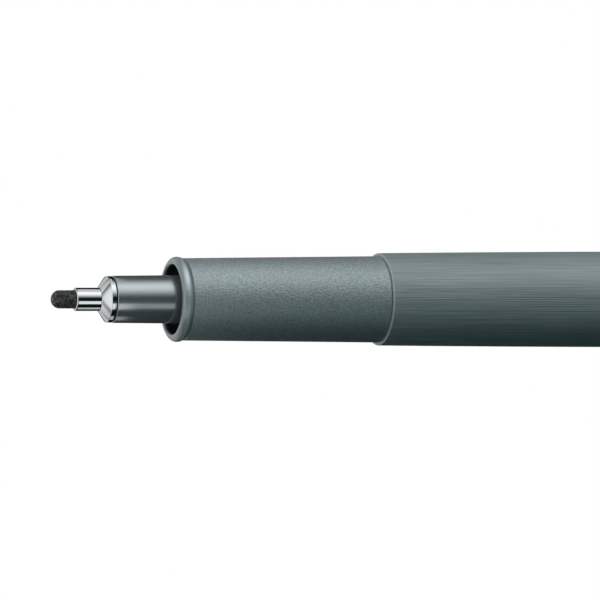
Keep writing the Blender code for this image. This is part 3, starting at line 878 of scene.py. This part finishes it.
@dataclass
class WritingPoint:
    """The fibre nib, the steel tube round it, and the metal cone that holds the tube."""

    nib_radius: float = 0.917 * MM
    nib_point: float = 0.86 * MM
    nib_rough: float = 0.03 * MM
    nib_lump: float = 0.28 * MM
    nib_layers: int = 2
    shaft_rings: int = 18
    point_rings: int = 20
    point_turn: float = -88.0
    tube_radius: float = 1.147 * MM
    tube_bore: float = 0.947 * MM
    tube_lip: float = 0.16 * MM
    lip_rings: int = 10
    cone_bore: float = 1.177 * MM
    cone_land: float = 0.05 * MM
    cone_length: float = 0.77 * MM
    collar_radius: float = 2.295 * MM
    collar_length: float = 0.50 * MM
    collar_chamfer: float = 0.05 * MM
    collar_edge: float = 0.05 * MM
    edge: float = 0.02 * MM
    edge_rings: int = 4
    spigot_radius: float = 1.782 * MM
    sides: int = 160
    fibre: Finish = field(default_factory=InkedFibre)
    steel: Finish = field(default_factory=Steel)
    turned: Finish = field(default_factory=lambda: Steel(
        "turned_metal", colour=(0.372, 0.392, 0.401), roughness=0.11))

    def build(self) -> None:
        """Build and dress the three pieces."""
        self.nib()
        self.tube()
        self.cone()

    def nib(self) -> None:
        """Bullet of compressed fibre, a little uneven all over."""
        tip, rear = span("fibre_nib")
        tube_front = span("nib_tube")[0]
        outline: Outline = [(0.0, rear), (self.nib_radius, rear)]
        point_rear = tip + self.nib_point
        outline += [(self.nib_radius,
                     tube_front + (point_rear - tube_front) * ring / self.shaft_rings)
                    for ring in range(self.shaft_rings)]
        outline += arc((0.0, point_rear), self.nib_radius, self.nib_point,
                       0, self.point_turn, self.point_rings)
        outline.append((0.0, tip))
        piece = Workbench.turn("nib_fibre_bullet", outline, self.sides, closed=False)
        shown = piece.vertex_groups.new(name="shown")
        shown.add([vertex.index for vertex in piece.data.vertices
                   if vertex.co.x < tube_front], 1.0, "REPLACE")
        felt = bpy.data.textures.new("felt", "CLOUDS")
        felt.noise_scale = self.nib_lump
        felt.noise_depth = self.nib_layers
        Workbench.apply_modifier(piece, "DISPLACE", texture=felt, texture_coords="LOCAL",
                                 vertex_group="shown", strength=self.nib_rough, mid_level=1.0)
        piece.vertex_groups.clear()
        bpy.data.textures.remove(felt)
        place(piece, Body.PEN, "fibre_nib", "nib_fibre", self.fibre.material())

    def tube(self) -> None:
        """Drawn tube whose front edge is rolled in over the nib."""
        front, rear = span("nib_tube")
        outline: Outline = [(self.tube_radius, rear)]
        outline += arc((self.tube_radius - self.tube_lip, front + self.tube_lip),
                       self.tube_lip, self.tube_lip, 0, -90, self.lip_rings)
        outline += [(self.tube_bore, front), (self.tube_bore, rear)]
        piece = Workbench.turn("nib_steel_tube", outline, self.sides, closed=True)
        place(piece, Body.PEN, "nib_tube", "polished_steel", self.steel.material())

    def cone(self) -> None:
        """Turned cone with a narrow collar and a spigot behind it."""
        front, rear = span("nib_cone")
        collar_front = front + self.cone_length
        collar_rear = collar_front + self.collar_length
        chamfer = self.collar_chamfer
        outline: Outline = [
            (self.spigot_radius, rear),
            (self.spigot_radius, collar_rear),
            (self.collar_radius - chamfer, collar_rear),
            (self.collar_radius, collar_rear - chamfer),
            (self.collar_radius, collar_front),
            (self.cone_bore + self.cone_land, front),
            (self.cone_bore, front),
            (self.cone_bore, rear),
        ]
        rounded = [(2, self.edge), (3, self.edge), (4, self.collar_edge), (5, self.edge)]
        outline = eased(outline, rounded, self.edge_rings)
        piece = Workbench.turn("nib_metal_cone", outline, self.sides, closed=True)
        place(piece, Body.PEN, "nib_cone", "polished_steel", self.turned.material())


@dataclass
class NibHolder:
    """Glossy moulding that carries cone, tube and nib, and is pressed into the grip."""

    front_radius: float = 2.335 * MM
    stem_radius: float = 2.48 * MM
    flange_radius: float = 3.05 * MM
    flange_length: float = 1.90 * MM
    edge: float = 0.05 * MM
    flange_edge: float = 0.1 * MM
    cone_bore: float = 1.812 * MM
    cone_depth: float = 2.40 * MM
    tube_bore: float = 1.177 * MM
    tube_depth: float = 3.83 * MM
    nib_bore: float = 0.947 * MM
    wick_bore: float = 1.08 * MM
    mouth_floor: float = 12.86 * MM
    sides: int = 192
    finish: Finish = field(default_factory=Slate)

    def build(self) -> None:
        """Build and dress the holder."""
        front, rear = span("nib_holder")
        nib_rear = span("fibre_nib")[1]
        flange_front = rear - self.flange_length
        outline: Outline = [
            (self.flange_radius, rear),
            (self.flange_radius, flange_front),
            (self.stem_radius, flange_front),
            (self.stem_radius, front + self.mouth_floor),
            (self.front_radius, front + self.edge),
            (self.front_radius - self.edge, front),
            (self.cone_bore, front),
            (self.cone_bore, front + self.cone_depth),
            (self.tube_bore, front + self.cone_depth),
            (self.tube_bore, front + self.tube_depth),
            (self.nib_bore, front + self.tube_depth),
            (self.nib_bore, nib_rear),
            (self.wick_bore, nib_rear),
            (self.wick_bore, rear),
        ]
        outline = eased(outline, [(0, self.flange_edge), (1, self.flange_edge),
                                  (4, self.edge / 2), (5, self.edge / 2)])
        piece = Workbench.turn("nib_holder_moulding", outline, self.sides, closed=True)
        place(piece, Body.PEN, "nib_holder", "slate_gloss", self.finish.material())


@dataclass
class GripSection:
    """Tapered grip with an open mouth, a rounded lip round it, and a plug for the barrel."""

    mouth_radius: float = 3.496 * MM
    lip_centre: float = 3.743 * MM
    lip_thickness: float = 0.50 * MM
    lip_front: float = 0.58 * MM
    lip_rear: float = 0.64 * MM
    inner_round: float = 0.19 * MM
    front_radius: float = 4.108 * MM
    rear_radius: float = 4.39 * MM
    length: float = 21.93 * MM
    mouth_depth: float = 6.70 * MM
    web_bore: float = 2.51 * MM
    web_thickness: float = 6.00 * MM
    plug_radius: float = 3.97 * MM
    plug_bore: float = 3.35 * MM
    plug_chamfer: float = 0.25 * MM
    groove_depth: float = 0.13 * MM
    groove_width: float = 0.06 * MM
    groove_shoulder: float = 0.012 * MM
    lip_rings: tuple[int, int, int] = (12, 16, 8)
    sides: int = 256
    finish: GrainedSlate = field(default_factory=GrainedSlate)

    def lip(self, front: float) -> Outline:
        """Outline of the lip.

        Args:
            front: Where the lip's front face is along the pen.

        Returns:
            Its points, from the crease behind it to the wall of the mouth.
        """
        widest = front + self.lip_front
        floor = self.front_radius - self.groove_depth
        crease = math.degrees(math.acos((floor - self.lip_centre) / self.lip_thickness))
        groove = widest + self.lip_rear * math.sin(math.radians(crease))
        rear_rings, front_rings, inner_rings = self.lip_rings
        middle = (self.lip_centre, widest)
        outline: Outline = [(self.front_radius, groove + self.groove_width * 2),
                            (self.front_radius - self.groove_shoulder, groove + self.groove_width)]
        outline += arc(middle, self.lip_thickness, self.lip_rear, crease, 0, rear_rings)
        outline += arc(middle, self.lip_thickness, self.lip_front, 0, -90, front_rings)[1:]
        outline += arc((self.mouth_radius + self.inner_round, front + self.inner_round),
                       self.inner_round, self.inner_round, -90, -180, inner_rings)
        return outline

    def build(self) -> None:
        """Build and dress the grip."""
        front, rear = span("grip_section")
        grip_rear = front + self.length
        web_front = front + self.mouth_depth
        web_rear = web_front + self.web_thickness
        outline: Outline = [
            (self.plug_radius - self.plug_chamfer, rear),
            (self.plug_radius, rear - self.plug_chamfer),
            (self.plug_radius, grip_rear),
            (self.rear_radius, grip_rear),
        ]
        outline += self.lip(front)
        outline += [
            (self.mouth_radius, web_front),
            (self.web_bore, web_front),
            (self.web_bore, web_rear),
            (self.plug_bore, web_rear),
            (self.plug_bore, rear),
        ]
        piece = Workbench.turn("grip_taper", outline, self.sides, closed=True)
        finish = replace(self.finish, front=front / MM)
        place(piece, Body.PEN, "grip_section", "slate_grained", finish.material())


@dataclass
class Barrel:
    """Swelling barrel with fine lengthwise flutes and a spigot where the cap is posted."""

    front_radius: float = 4.70 * MM
    belly_radius: float = 5.08 * MM
    shoulder_radius: float = 4.90 * MM
    belly: float = 53.7 * MM
    rear_length: float = 30.0 * MM
    front_round: float = 0.16 * MM
    rear_round: float = 0.30 * MM
    bore: float = 4.00 * MM
    rear_bore: float = 3.65 * MM
    rear_bore_length: float = 11.0 * MM
    spigot_radius: float = 4.39 * MM
    spigot_end: float = 4.33 * MM
    spigot_chamfer: float = 0.25 * MM
    sides: int = 720
    rows: int = 36
    round_rings: int = 6
    flute_depths: int = 6
    flute_depth: float = 0.012 * MM
    flute_margin: float = 0.5 * MM
    flute_seed: int = 7
    outer_side: float = 4.69 * MM
    finish: DrawnSlate = field(default_factory=DrawnSlate)

    def radius_at(self, along: float) -> float:
        """Outer radius of the barrel.

        Args:
            along: Distance behind the front face.

        Returns:
            The radius there, without flutes.
        """
        if along < self.belly:
            end_radius, reach = self.front_radius, self.belly
        else:
            end_radius, reach = self.shoulder_radius, self.rear_length
        share = (along - self.belly) / reach
        return self.belly_radius - (self.belly_radius - end_radius) * share * share

    def build(self) -> None:
        """Build and dress the barrel."""
        front, rear = span("barrel")
        shoulder = self.belly + self.rear_length
        rear_edge = shoulder - self.rear_round
        bore_step = rear - self.rear_bore_length
        outline: Outline = [
            (self.spigot_end - self.spigot_chamfer, rear),
            (self.spigot_end, rear - self.spigot_chamfer),
            (self.spigot_radius, front + shoulder),
        ]
        outline += arc((self.radius_at(rear_edge) - self.rear_round, front + rear_edge),
                       self.rear_round, self.rear_round, 90, 0, self.round_rings)
        for row in range(1, self.rows):
            along = rear_edge + (self.front_round - rear_edge) * row / self.rows
            outline.append((self.radius_at(along), front + along))
        outline += arc((self.radius_at(self.front_round) - self.front_round,
                        front + self.front_round),
                       self.front_round, self.front_round, 0, -90, self.round_rings)
        outline += [(self.bore, front), (self.bore, bore_step),
                    (self.rear_bore, bore_step), (self.rear_bore, rear)]
        piece = Workbench.turn("barrel_shell", outline, self.sides, closed=True)
        self.flute(piece, front + self.flute_margin, front + shoulder - self.flute_margin)
        finish = replace(self.finish, front=front / MM)
        place(piece, Body.PEN, "barrel", "slate_brushed", finish.material())

    def flute(self, piece: bpy.types.Object, start: float, end: float) -> None:
        """Press fine lengthwise flutes of different depths into the outer side.

        Args:
            piece: The barrel.
            start: Where the flutes start.
            end: Where they end.
        """
        chance = random.Random(self.flute_seed)
        depths = [chance.randrange(self.flute_depths) for _ in range(self.sides)]
        Workbench.take(piece)
        Workbench.edit()
        for step in range(1, self.flute_depths):
            def in_flute(vertex: bmesh.types.BMVert) -> bool:
                """Whether a vertex lies in a flute of this depth.

                Args:
                    vertex: A vertex of the barrel.

                Returns:
                    True on the outer side, along a line that was drawn this depth.
                """
                spot, radius = vertex.co, AXIS.distance(vertex.co)
                if not (start < spot.x < end and radius > self.outer_side):
                    return False
                turn = math.atan2(spot.z - AXIS.z, spot.y - AXIS.y) / (2 * math.pi)
                return depths[round(turn * self.sides) % self.sides] == step
            Workbench.select(in_flute)
            scale = 1.0 - self.flute_depth * step / self.flute_depths / self.belly_radius
            bpy.ops.transform.resize(value=(1.0, scale, scale), center_override=AXIS.point(0.0))
        Workbench.leave()


@dataclass
class EndPlug:
    """Cup-shaped plug that closes the barrel's rear end."""

    flange_radius: float = 4.10 * MM
    flange_thickness: float = 1.30 * MM
    flange_edge: float = 0.35 * MM
    stem_radius: float = 3.62 * MM
    stem_wall: float = 0.70 * MM
    face_edge: float = 0.1 * MM
    seat_edge: float = 0.08 * MM
    stem_edge: float = 0.12 * MM
    edge_rings: int = 4
    sides: int = 192
    finish: Finish = field(default_factory=Slate)

    def build(self) -> None:
        """Build and dress the plug."""
        front, rear = span("end_plug")
        flange_front = rear - self.flange_thickness
        inner = self.stem_radius - self.stem_wall
        outline: Outline = [
            (0.0, rear),
            (self.flange_radius - self.flange_edge, rear),
            (self.flange_radius, rear - self.flange_edge),
            (self.flange_radius, flange_front),
            (self.stem_radius, flange_front),
            (self.stem_radius, front),
            (inner, front),
            (inner, flange_front),
            (0.0, flange_front),
        ]
        rounded = [(1, self.face_edge), (2, self.face_edge), (3, self.seat_edge),
                   (5, self.stem_edge)]
        outline = eased(outline, rounded, self.edge_rings)
        piece = Workbench.turn("barrel_end_plug", outline, self.sides, closed=False)
        place(piece, Body.PEN, "end_plug", "slate_gloss", self.finish.material())


@dataclass
class Cap:
    """Cap shell with a slot for the clip, the seal inside it and the crown in its end."""

    mouth_radius: float = 5.27 * MM
    end_radius: float = 5.12 * MM
    bore: float = 4.47 * MM
    bore_end: float = 4.42 * MM
    floor: float = 1.80 * MM
    mouth_round: float = 0.20 * MM
    end_round: float = 0.45 * MM
    recess_radius: float = 3.43 * MM
    recess_depth: float = 0.80 * MM
    mouth_rings: int = 8
    end_rings: int = 12
    crown_edge: float = 0.15 * MM
    crown_round: float = 0.06 * MM
    crown_sides: int = 192
    gate_radius: float = 0.55 * MM
    gate_floor: float = 0.42 * MM
    gate_depth: float = 0.08 * MM
    gate_round: float = 0.05 * MM
    seal_base: float = 1.00 * MM
    seal_radius: float = 3.18 * MM
    seal_bore: float = 2.56 * MM
    seal_lead_in: float = 0.20 * MM
    seal_flange_round: float = 0.08 * MM
    seal_round: float = 0.06 * MM
    seal_sides: int = 128
    slot_width: float = 3.30 * MM
    slot_height: float = 0.80 * MM
    slot_reach: float = 2.4 * MM
    sides: int = 256
    satin: Finish = field(default_factory=lambda: Slate(
        name="slate_satin", colour=(0.20, 0.242, 0.25), metallic=0.3, roughness=0.38))
    gloss: Finish = field(default_factory=Slate)
    milky: Finish = field(default_factory=Milky)

    def build(self) -> None:
        """Build and dress the three pieces."""
        self.shell()
        self.seal()
        self.crown()

    def shell(self) -> None:
        """Shell, closed at its rear end."""
        mouth, end = span("cap_shell")
        crown_front = end - self.recess_depth
        outline: Outline = [(0.0, crown_front), (self.recess_radius, crown_front),
                            (self.recess_radius, end)]
        outline += arc((self.end_radius - self.end_round, end - self.end_round),
                       self.end_round, self.end_round, 90, 0, self.end_rings)
        outline += arc((self.mouth_radius - self.mouth_round, mouth + self.mouth_round),
                       self.mouth_round, self.mouth_round, 0, -90, self.mouth_rings)
        outline += [(self.bore, mouth), (self.bore_end, end - self.floor), (0.0, end - self.floor)]
        piece = Workbench.turn("cap_shell_moulding", outline, self.sides, closed=False)
        self.slot(piece)
        place(piece, Body.CAP, "cap_shell", "slate_satin", self.satin.material())

    def slot(self, piece: bpy.types.Object) -> None:
        """Cut the slot that the clip stands in.

        Args:
            piece: The shell.
        """
        pivot, outward, sideways = Clip.frame()
        Workbench.clear()
        bpy.ops.mesh.primitive_cube_add(size=1.0)
        cutter = bpy.context.active_object
        cutter.scale = (self.slot_height, self.slot_reach, self.slot_width)
        turn = Matrix((ALONG, outward, sideways)).transposed()
        cutter.rotation_euler = turn.to_euler()
        cutter.location = pivot
        bpy.ops.object.transform_apply(location=True, rotation=True, scale=True)
        Workbench.apply_modifier(piece, "BOOLEAN", operation="DIFFERENCE", object=cutter,
                                 solver="EXACT")
        bpy.data.objects.remove(cutter)
        Workbench.settle(piece)

    def seal(self) -> None:
        """Inner cup that closes over the nib holder."""
        mouth, rear = span("cap_inner_seal")
        base_front = rear - self.seal_base
        flange = self.bore_end - PRESS_FIT
        outline: Outline = [
            (0.0, rear),
            (flange, rear),
            (flange, base_front),
            (self.seal_radius, base_front),
            (self.seal_radius, mouth + self.seal_lead_in),
            (self.seal_radius - self.seal_lead_in, mouth),
            (self.seal_bore, mouth),
            (self.seal_bore, base_front),
            (0.0, base_front),
        ]
        outline = eased(outline, [(2, self.seal_flange_round), (4, self.seal_round),
                                  (5, self.seal_round), (6, self.seal_round)])
        piece = Workbench.turn("cap_seal_cup", outline, self.seal_sides, closed=False)
        place(piece, Body.CAP, "cap_inner_seal", "natural_plastic", self.milky.material())

    def crown(self) -> None:
        """Round insert with a flat face and a small gate mark in its middle."""
        front, rear = span("cap_crown")
        radius = self.recess_radius - PRESS_FIT
        outline: Outline = [
            (0.0, front),
            (radius, front),
            (radius, rear - self.crown_edge),
            (radius - self.crown_edge, rear),
            (self.gate_radius, rear),
            (self.gate_floor, rear - self.gate_depth),
            (0.0, rear - self.gate_depth),
        ]
        outline = eased(outline, [(2, self.crown_round), (3, self.crown_round),
                                  (4, self.gate_round), (5, self.gate_round)])
        piece = Workbench.turn("cap_crown_insert", outline, self.crown_sides, closed=False)
        place(piece, Body.CAP, "cap_crown", "slate_gloss", self.gloss.material())


@dataclass
class Clip:
    """Spring clip bent from one steel strip: foot in the slot, long arm, tail turned up."""

    thickness: float = 0.50 * MM
    root_width: float = 3.0 * MM
    tip_width: float = 2.4 * MM
    foot: float = 0.95 * MM
    root_rise: float = 1.7125 * MM
    reach: float = 27.5 * MM
    touch_fall: float = 1.034 * MM
    tail: float = 2.9 * MM
    tail_lift: float = 0.75 * MM
    root_bend: float = 0.8 * MM
    touch_bend: float = 3.0 * MM
    edge: float = 0.07 * MM
    edge_steps: int = 3
    edge_angle: float = math.radians(50.0)
    bend_steps: int = 10
    finish: Finish = field(default_factory=lambda: Steel(
        name="clip_steel", colour=(0.50, 0.51, 0.515), roughness=0.3, rougher=0.07,
        grain=Grain.ALONG, line=0.05, depth=0.0012))

    @staticmethod
    def frame() -> tuple[Vector, Vector, Vector]:
        """How the clip stands on the cap.

        Returns:
            The pivot, the direction away from the pen, and the direction across the strip.
        """
        joint = next(joint for joint in frame["joints"] if joint["name"] == "clip_flex")
        pivot = Vector(joint["pos_m"])
        outward = (pivot - AXIS.point(pivot.x)).normalized()
        return pivot, outward, ALONG.cross(outward)

    def path(self) -> list[Vector]:
        """Middle line of the strip.

        Returns:
            Points as (height over the pivot, distance along the pen).
        """
        corners = [
            Vector((-self.foot, 0.0)),
            Vector((self.root_rise, 0.0)),
            Vector((self.root_rise - self.touch_fall, -self.reach)),
            Vector((self.root_rise - self.touch_fall + self.tail_lift, -self.reach - self.tail)),
        ]
        points = [corners[0]]
        for number, bend in ((1, self.root_bend), (2, self.touch_bend)):
            corner = corners[number]
            back = (corners[number - 1] - corner).normalized()
            on = (corners[number + 1] - corner).normalized()
            half = back.angle(on) / 2
            middle = corner + (back + on).normalized() * bend / math.sin(half)
            start = corner + back * bend / math.tan(half) - middle
            end = corner + on * bend / math.tan(half) - middle
            turn = math.copysign(math.pi - 2 * half, start.x * end.y - start.y * end.x)
            points += [middle + Matrix.Rotation(turn * step / self.bend_steps, 2) @ start
                       for step in range(self.bend_steps + 1)]
        return points + [corners[-1]]

    def build(self) -> None:
        """Build and dress the clip."""
        pivot, outward, sideways = self.frame()
        path = [pivot + outward * point.x + ALONG * point.y for point in self.path()]
        lengths = [0.0]
        for here, there in zip(path, path[1:]):
            lengths.append(lengths[-1] + (there - here).length)
        widths = [self.root_width + (self.tip_width - self.root_width) * length / lengths[-1]
                  for length in lengths]
        Workbench.clear()
        first = path[1] - path[0]
        turn = Matrix((first.normalized(), sideways,
                       first.normalized().cross(sideways))).transposed()
        bpy.ops.mesh.primitive_plane_add(size=1.0)
        piece = bpy.context.active_object
        piece.name = piece.data.name = "cap_spring_clip"
        piece.scale = (first.length, widths[0], 1.0)
        piece.rotation_euler = turn.to_euler()
        piece.location = (path[0] + path[1]) / 2
        bpy.ops.object.transform_apply(location=True, rotation=True, scale=True)
        Workbench.edit()
        Workbench.select(lambda vertex: (vertex.co - path[1]).dot(first) > -first.length ** 2 / 2)
        for number in range(1, len(path) - 1):
            bpy.ops.mesh.extrude_edges_move(
                TRANSFORM_OT_translate={"value": path[number + 1] - path[number]})
            scale = widths[number + 1] / widths[number]
            bpy.ops.transform.resize(value=(scale, scale, scale),
                                     center_override=path[number + 1])
        Workbench.leave()
        Workbench.apply_modifier(piece, "SOLIDIFY", thickness=self.thickness, offset=0.0,
                                 use_even_offset=True)
        Workbench.take(piece)
        Workbench.edit()
        bpy.ops.mesh.select_all(action="SELECT")
        bpy.ops.mesh.normals_make_consistent(inside=False)
        Workbench.leave()
        Workbench.apply_modifier(piece, "BEVEL", width=self.edge, segments=self.edge_steps,
                                 limit_method="ANGLE", angle_limit=self.edge_angle)
        Workbench.settle(piece)
        place(piece, Body.CLIP, "cap_clip", "clip_steel", self.finish.material())


@dataclass
class Reservoir:
    """What lies inside the pen: ink store, its film, the wick and the breather tube."""

    fibre: Finish = field(default_factory=BondedFibre)
    film: Finish = field(default_factory=ClearFilm)
    milky: Finish = field(default_factory=Milky)

    def build(self) -> None:
        """Dress the nodes of the frame, which stay as they are."""
        for node, finish in (("relay_wick", self.fibre), ("reservoir_core", self.fibre),
                             ("reservoir_film", self.film), ("breather_tube", self.milky)):
            piece = frame["nodes"][node]
            for slot in piece.material_slots:
                slot.material = finish.material()
            log.info("%s: dressed", node)


# ---------------------------------------------------------------------------------------------
# The studio
# ---------------------------------------------------------------------------------------------


@dataclass(frozen=True)
class Glow:
    """A soft band of light that runs along the pen, far away.

    Its place is an angle round the pen: 0 is level on the clip's side, 90 straight above.
    """

    angle: float
    width: float
    strength: float
    colour: Colour = WHITE


@dataclass(frozen=True)
class Card:
    """A glowing card beside the pen, turned to its axis and hidden from the camera."""

    name: str
    angle: float
    away: float
    width: float
    start: float
    length: float
    strength: float

    def build(self, tip: float) -> None:
        """Place the card.

        Args:
            tip: Where the nib's tip is along the pen.
        """
        turn = math.radians(self.angle)
        outward = Vector((0.0, -math.cos(turn), math.sin(turn)))
        Workbench.clear()
        bpy.ops.mesh.primitive_grid_add(
            x_subdivisions=2, y_subdivisions=2, size=1.0,
            location=AXIS.point(tip + self.start + self.length / 2) + outward * self.away,
            rotation=(math.radians(90.0) - turn, 0.0, 0.0))
        card = bpy.context.active_object
        card.name = self.name
        card.scale = (self.length, self.width, 1.0)
        Studio.glow(card, self.strength)
        card.visible_camera = False


@dataclass
class Studio:
    """White table, soft surrounding light and the camera."""

    swing: float = 19.88
    lift: float = 60.6
    distance: float = 343.4 * MM
    lens: float = 204.2
    sensor: float = 36.0
    view_start: float = 10.0 * MM
    view_end: float = 100.0
    table_size: float = 40.0
    centre: float = 26.05 * MM
    drop: float = 0.065 * MM
    bands: tuple[Glow, ...] = (
        Glow(122.5, 55.0, 2.5),
        Glow(28.0, 32.0, 0.34, (0.48, 0.99, 1.04)),
    )
    ambient: Colour = (0.003, 0.011, 0.011)
    rear_fade: Range = (0.38, 0.85)
    rear_loss: float = 0.85
    front_fade: Range = (-0.45, -0.85)
    front_loss: float = 0.6
    ground: float = 1.2
    ground_below: Range = (0.5, 0.85)
    ground_ahead: Range = (0.02, -0.12)
    rear_glow: float = 0.4
    rear_glow_end: Range = (0.8, 0.97)
    seam: float = -120.0
    seam_border: float = 0.01
    cards: tuple[Card, ...] = (
        Card("nib_fill_card", 28.5, 60.0 * MM, 25.0 * MM, 16.0 * MM, 17.0 * MM, 1.02),
        Card("tube_key_card", 158.0, 12.0 * MM, 7.0 * MM, 4.6 * MM, 4.4 * MM, 1.3),
        Card("tube_fill_card", 28.5, 12.0 * MM, 5.6 * MM, 4.6 * MM, 4.4 * MM, 1.9),
        Card("tube_rim_card", -38.5, 12.0 * MM, 6.0 * MM, 4.6 * MM, 4.9 * MM, 1.0),
    )
    disc_radius: float = 30.0 * MM
    disc_away: float = 14.0 * MM
    disc_strength: float = 1.9
    disc_edge: float = 0.66
    disc_fade: float = 21.0 * MM
    disc_sides: int = 96
    disc_gaps: tuple[tuple[float, float, float], ...] = ((183.0, 30.0, 0.96), (-43.0, 21.0, 0.7))

    def build(self) -> None:
        """Set up the table, the light and the camera."""
        tip = span("fibre_nib")[0]
        self.table()
        self.light()
        for card in self.cards:
            card.build(tip)
        self.disc(tip)
        self.camera(tip)
        bpy.context.scene.view_settings.view_transform = "Standard"

    @staticmethod
    def glow(card: bpy.types.Object, strength: float) -> Graph:
        """Let an object of the studio glow evenly in white.

        Args:
            card: The object.
            strength: How brightly it glows.

        Returns:
            The graph of its material.
        """
        material = bpy.data.materials.new(card.name)
        material.use_nodes = True
        graph = Graph(material.node_tree)
        light = graph.node("ShaderNodeEmission", {}, WHITE, strength)
        graph.node("ShaderNodeOutputMaterial", {}, light)
        card.data.materials.append(material)
        return graph

    def table(self) -> None:
        """A plain white top that the pen lies on. It is far larger than any view of the pen."""
        Workbench.clear()
        bpy.ops.mesh.primitive_grid_add(x_subdivisions=8, y_subdivisions=8, size=self.table_size)
        top = bpy.context.active_object
        top.name = "table_top"
        self.glow(top, 1.0)
        top.visible_diffuse = top.visible_glossy = False
        top.visible_transmission = top.visible_shadow = False

    def disc(self, tip: float) -> None:
        """A round glowing card in front of the nib, with two dark gaps, for the metal cone.

        Args:
            tip: Where the nib's tip is along the pen.
        """
        Workbench.clear()
        bpy.ops.mesh.primitive_circle_add(
            vertices=self.disc_sides, radius=self.disc_radius, fill_type="TRIFAN",
            location=AXIS.point(tip - self.disc_away), rotation=(0.0, math.pi / 2, 0.0))
        disc = bpy.context.active_object
        disc.name = "nib_front_card"
        bpy.ops.object.transform_apply(location=True, rotation=True, scale=True)
        graph = self.glow(disc, self.disc_strength)
        disc.visible_camera = False
        texture = graph.node("ShaderNodeTexCoord", {})
        _, y, z = graph.parts(texture.outputs["Object"])
        y, z = y - AXIS.y, z - AXIS.z
        angle = z.angle_with(y * -1.0) * math.degrees(1.0)
        middle = (y * y + z * z).ramp(self.disc_fade ** 2, 0.0)
        share = middle * (1.0 - self.disc_edge) + self.disc_edge
        for centre, width, depth in self.disc_gaps:
            share = (1.0 - angle.hump(centre, width) * depth) * share
        light = next(node for node in graph.tree.nodes if node.type == "EMISSION")
        graph.feed(light.inputs["Color"], graph.mix(share, BLACK, WHITE))

    def light(self) -> None:
        """Soft bands of light all round, with dark gaps between them."""
        world = bpy.data.worlds.new("studio_light")
        bpy.context.scene.world = world
        world.use_nodes = True
        graph = Graph(world.node_tree)
        texture = graph.node("ShaderNodeTexCoord", {})
        x, y, z = graph.parts(texture.outputs["Generated"])
        angle = z.angle_with(y * -1.0) * math.degrees(1.0)
        turned = angle + (angle - self.seam).ramp(0.0, -self.seam_border) * 360.0
        lift = math.radians(self.lift)
        below = y * math.cos(lift) - z * math.sin(lift)
        ground = below.ramp(*self.ground_below) * x.ramp(*self.ground_ahead) * self.ground
        behind = x.ramp(*self.rear_glow_end) * self.rear_glow
        ends = ((1.0 - x.ramp(*self.rear_fade) * self.rear_loss)
                * (1.0 - x.ramp(*self.front_fade) * self.front_loss))
        shines = [(turned.hump(band.angle, band.width) * ends,
                   tuple(part * band.strength for part in band.colour)) for band in self.bands]
        shines.append((ground + behind, WHITE))
        light: object = self.ambient
        for share, colour in shines:
            light = graph.node("ShaderNodeVectorMath", {"operation": "ADD"}, light,
                               graph.mix(share, BLACK, colour))
        lights = graph.node("ShaderNodeBackground", {}, light, 1.0)
        white = graph.node("ShaderNodeBackground", {}, WHITE, 1.0)
        path = graph.node("ShaderNodeLightPath", {})
        shown = graph.node("ShaderNodeMixShader", {}, path.outputs["Is Camera Ray"], lights, white)
        graph.node("ShaderNodeOutputWorld", {}, shown)

    def camera(self, tip: float) -> None:
        """The camera, level with the pen's length and nib to the left.

        Args:
            tip: Where the nib's tip is along the pen.
        """
        swing, lift = math.radians(self.swing), math.radians(self.lift)
        back = Vector((-math.sin(swing), -math.cos(swing) * math.cos(lift),
                       math.cos(swing) * math.sin(lift)))
        right = (ALONG - back * ALONG.dot(back)).normalized()
        up = back.cross(right)
        target = AXIS.point(tip + self.centre) - up * self.drop
        data = bpy.data.cameras.new("studio_camera")
        data.lens = self.lens
        data.sensor_width = self.sensor
        data.clip_start = self.view_start
        data.clip_end = self.view_end
        camera = bpy.data.objects.new("studio_camera", data)
        bpy.context.scene.collection.objects.link(camera)
        turn = Matrix((right, up, back)).transposed().to_4x4()
        camera.matrix_world = Matrix.Translation(target + back * self.distance) @ turn
        bpy.context.scene.camera = camera


def main() -> None:
    """Build the pen and its studio."""
    logging.basicConfig(level=logging.INFO, format="%(message)s")
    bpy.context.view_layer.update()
    for part in (WritingPoint(), NibHolder(), GripSection(), Barrel(), Reservoir(), EndPlug(),
                 Cap(), Clip()):
        part.build()
        log.info("%s done", type(part).__name__)
    Studio().build()
    Workbench.clear()


if __name__ == "__main__":
    main()
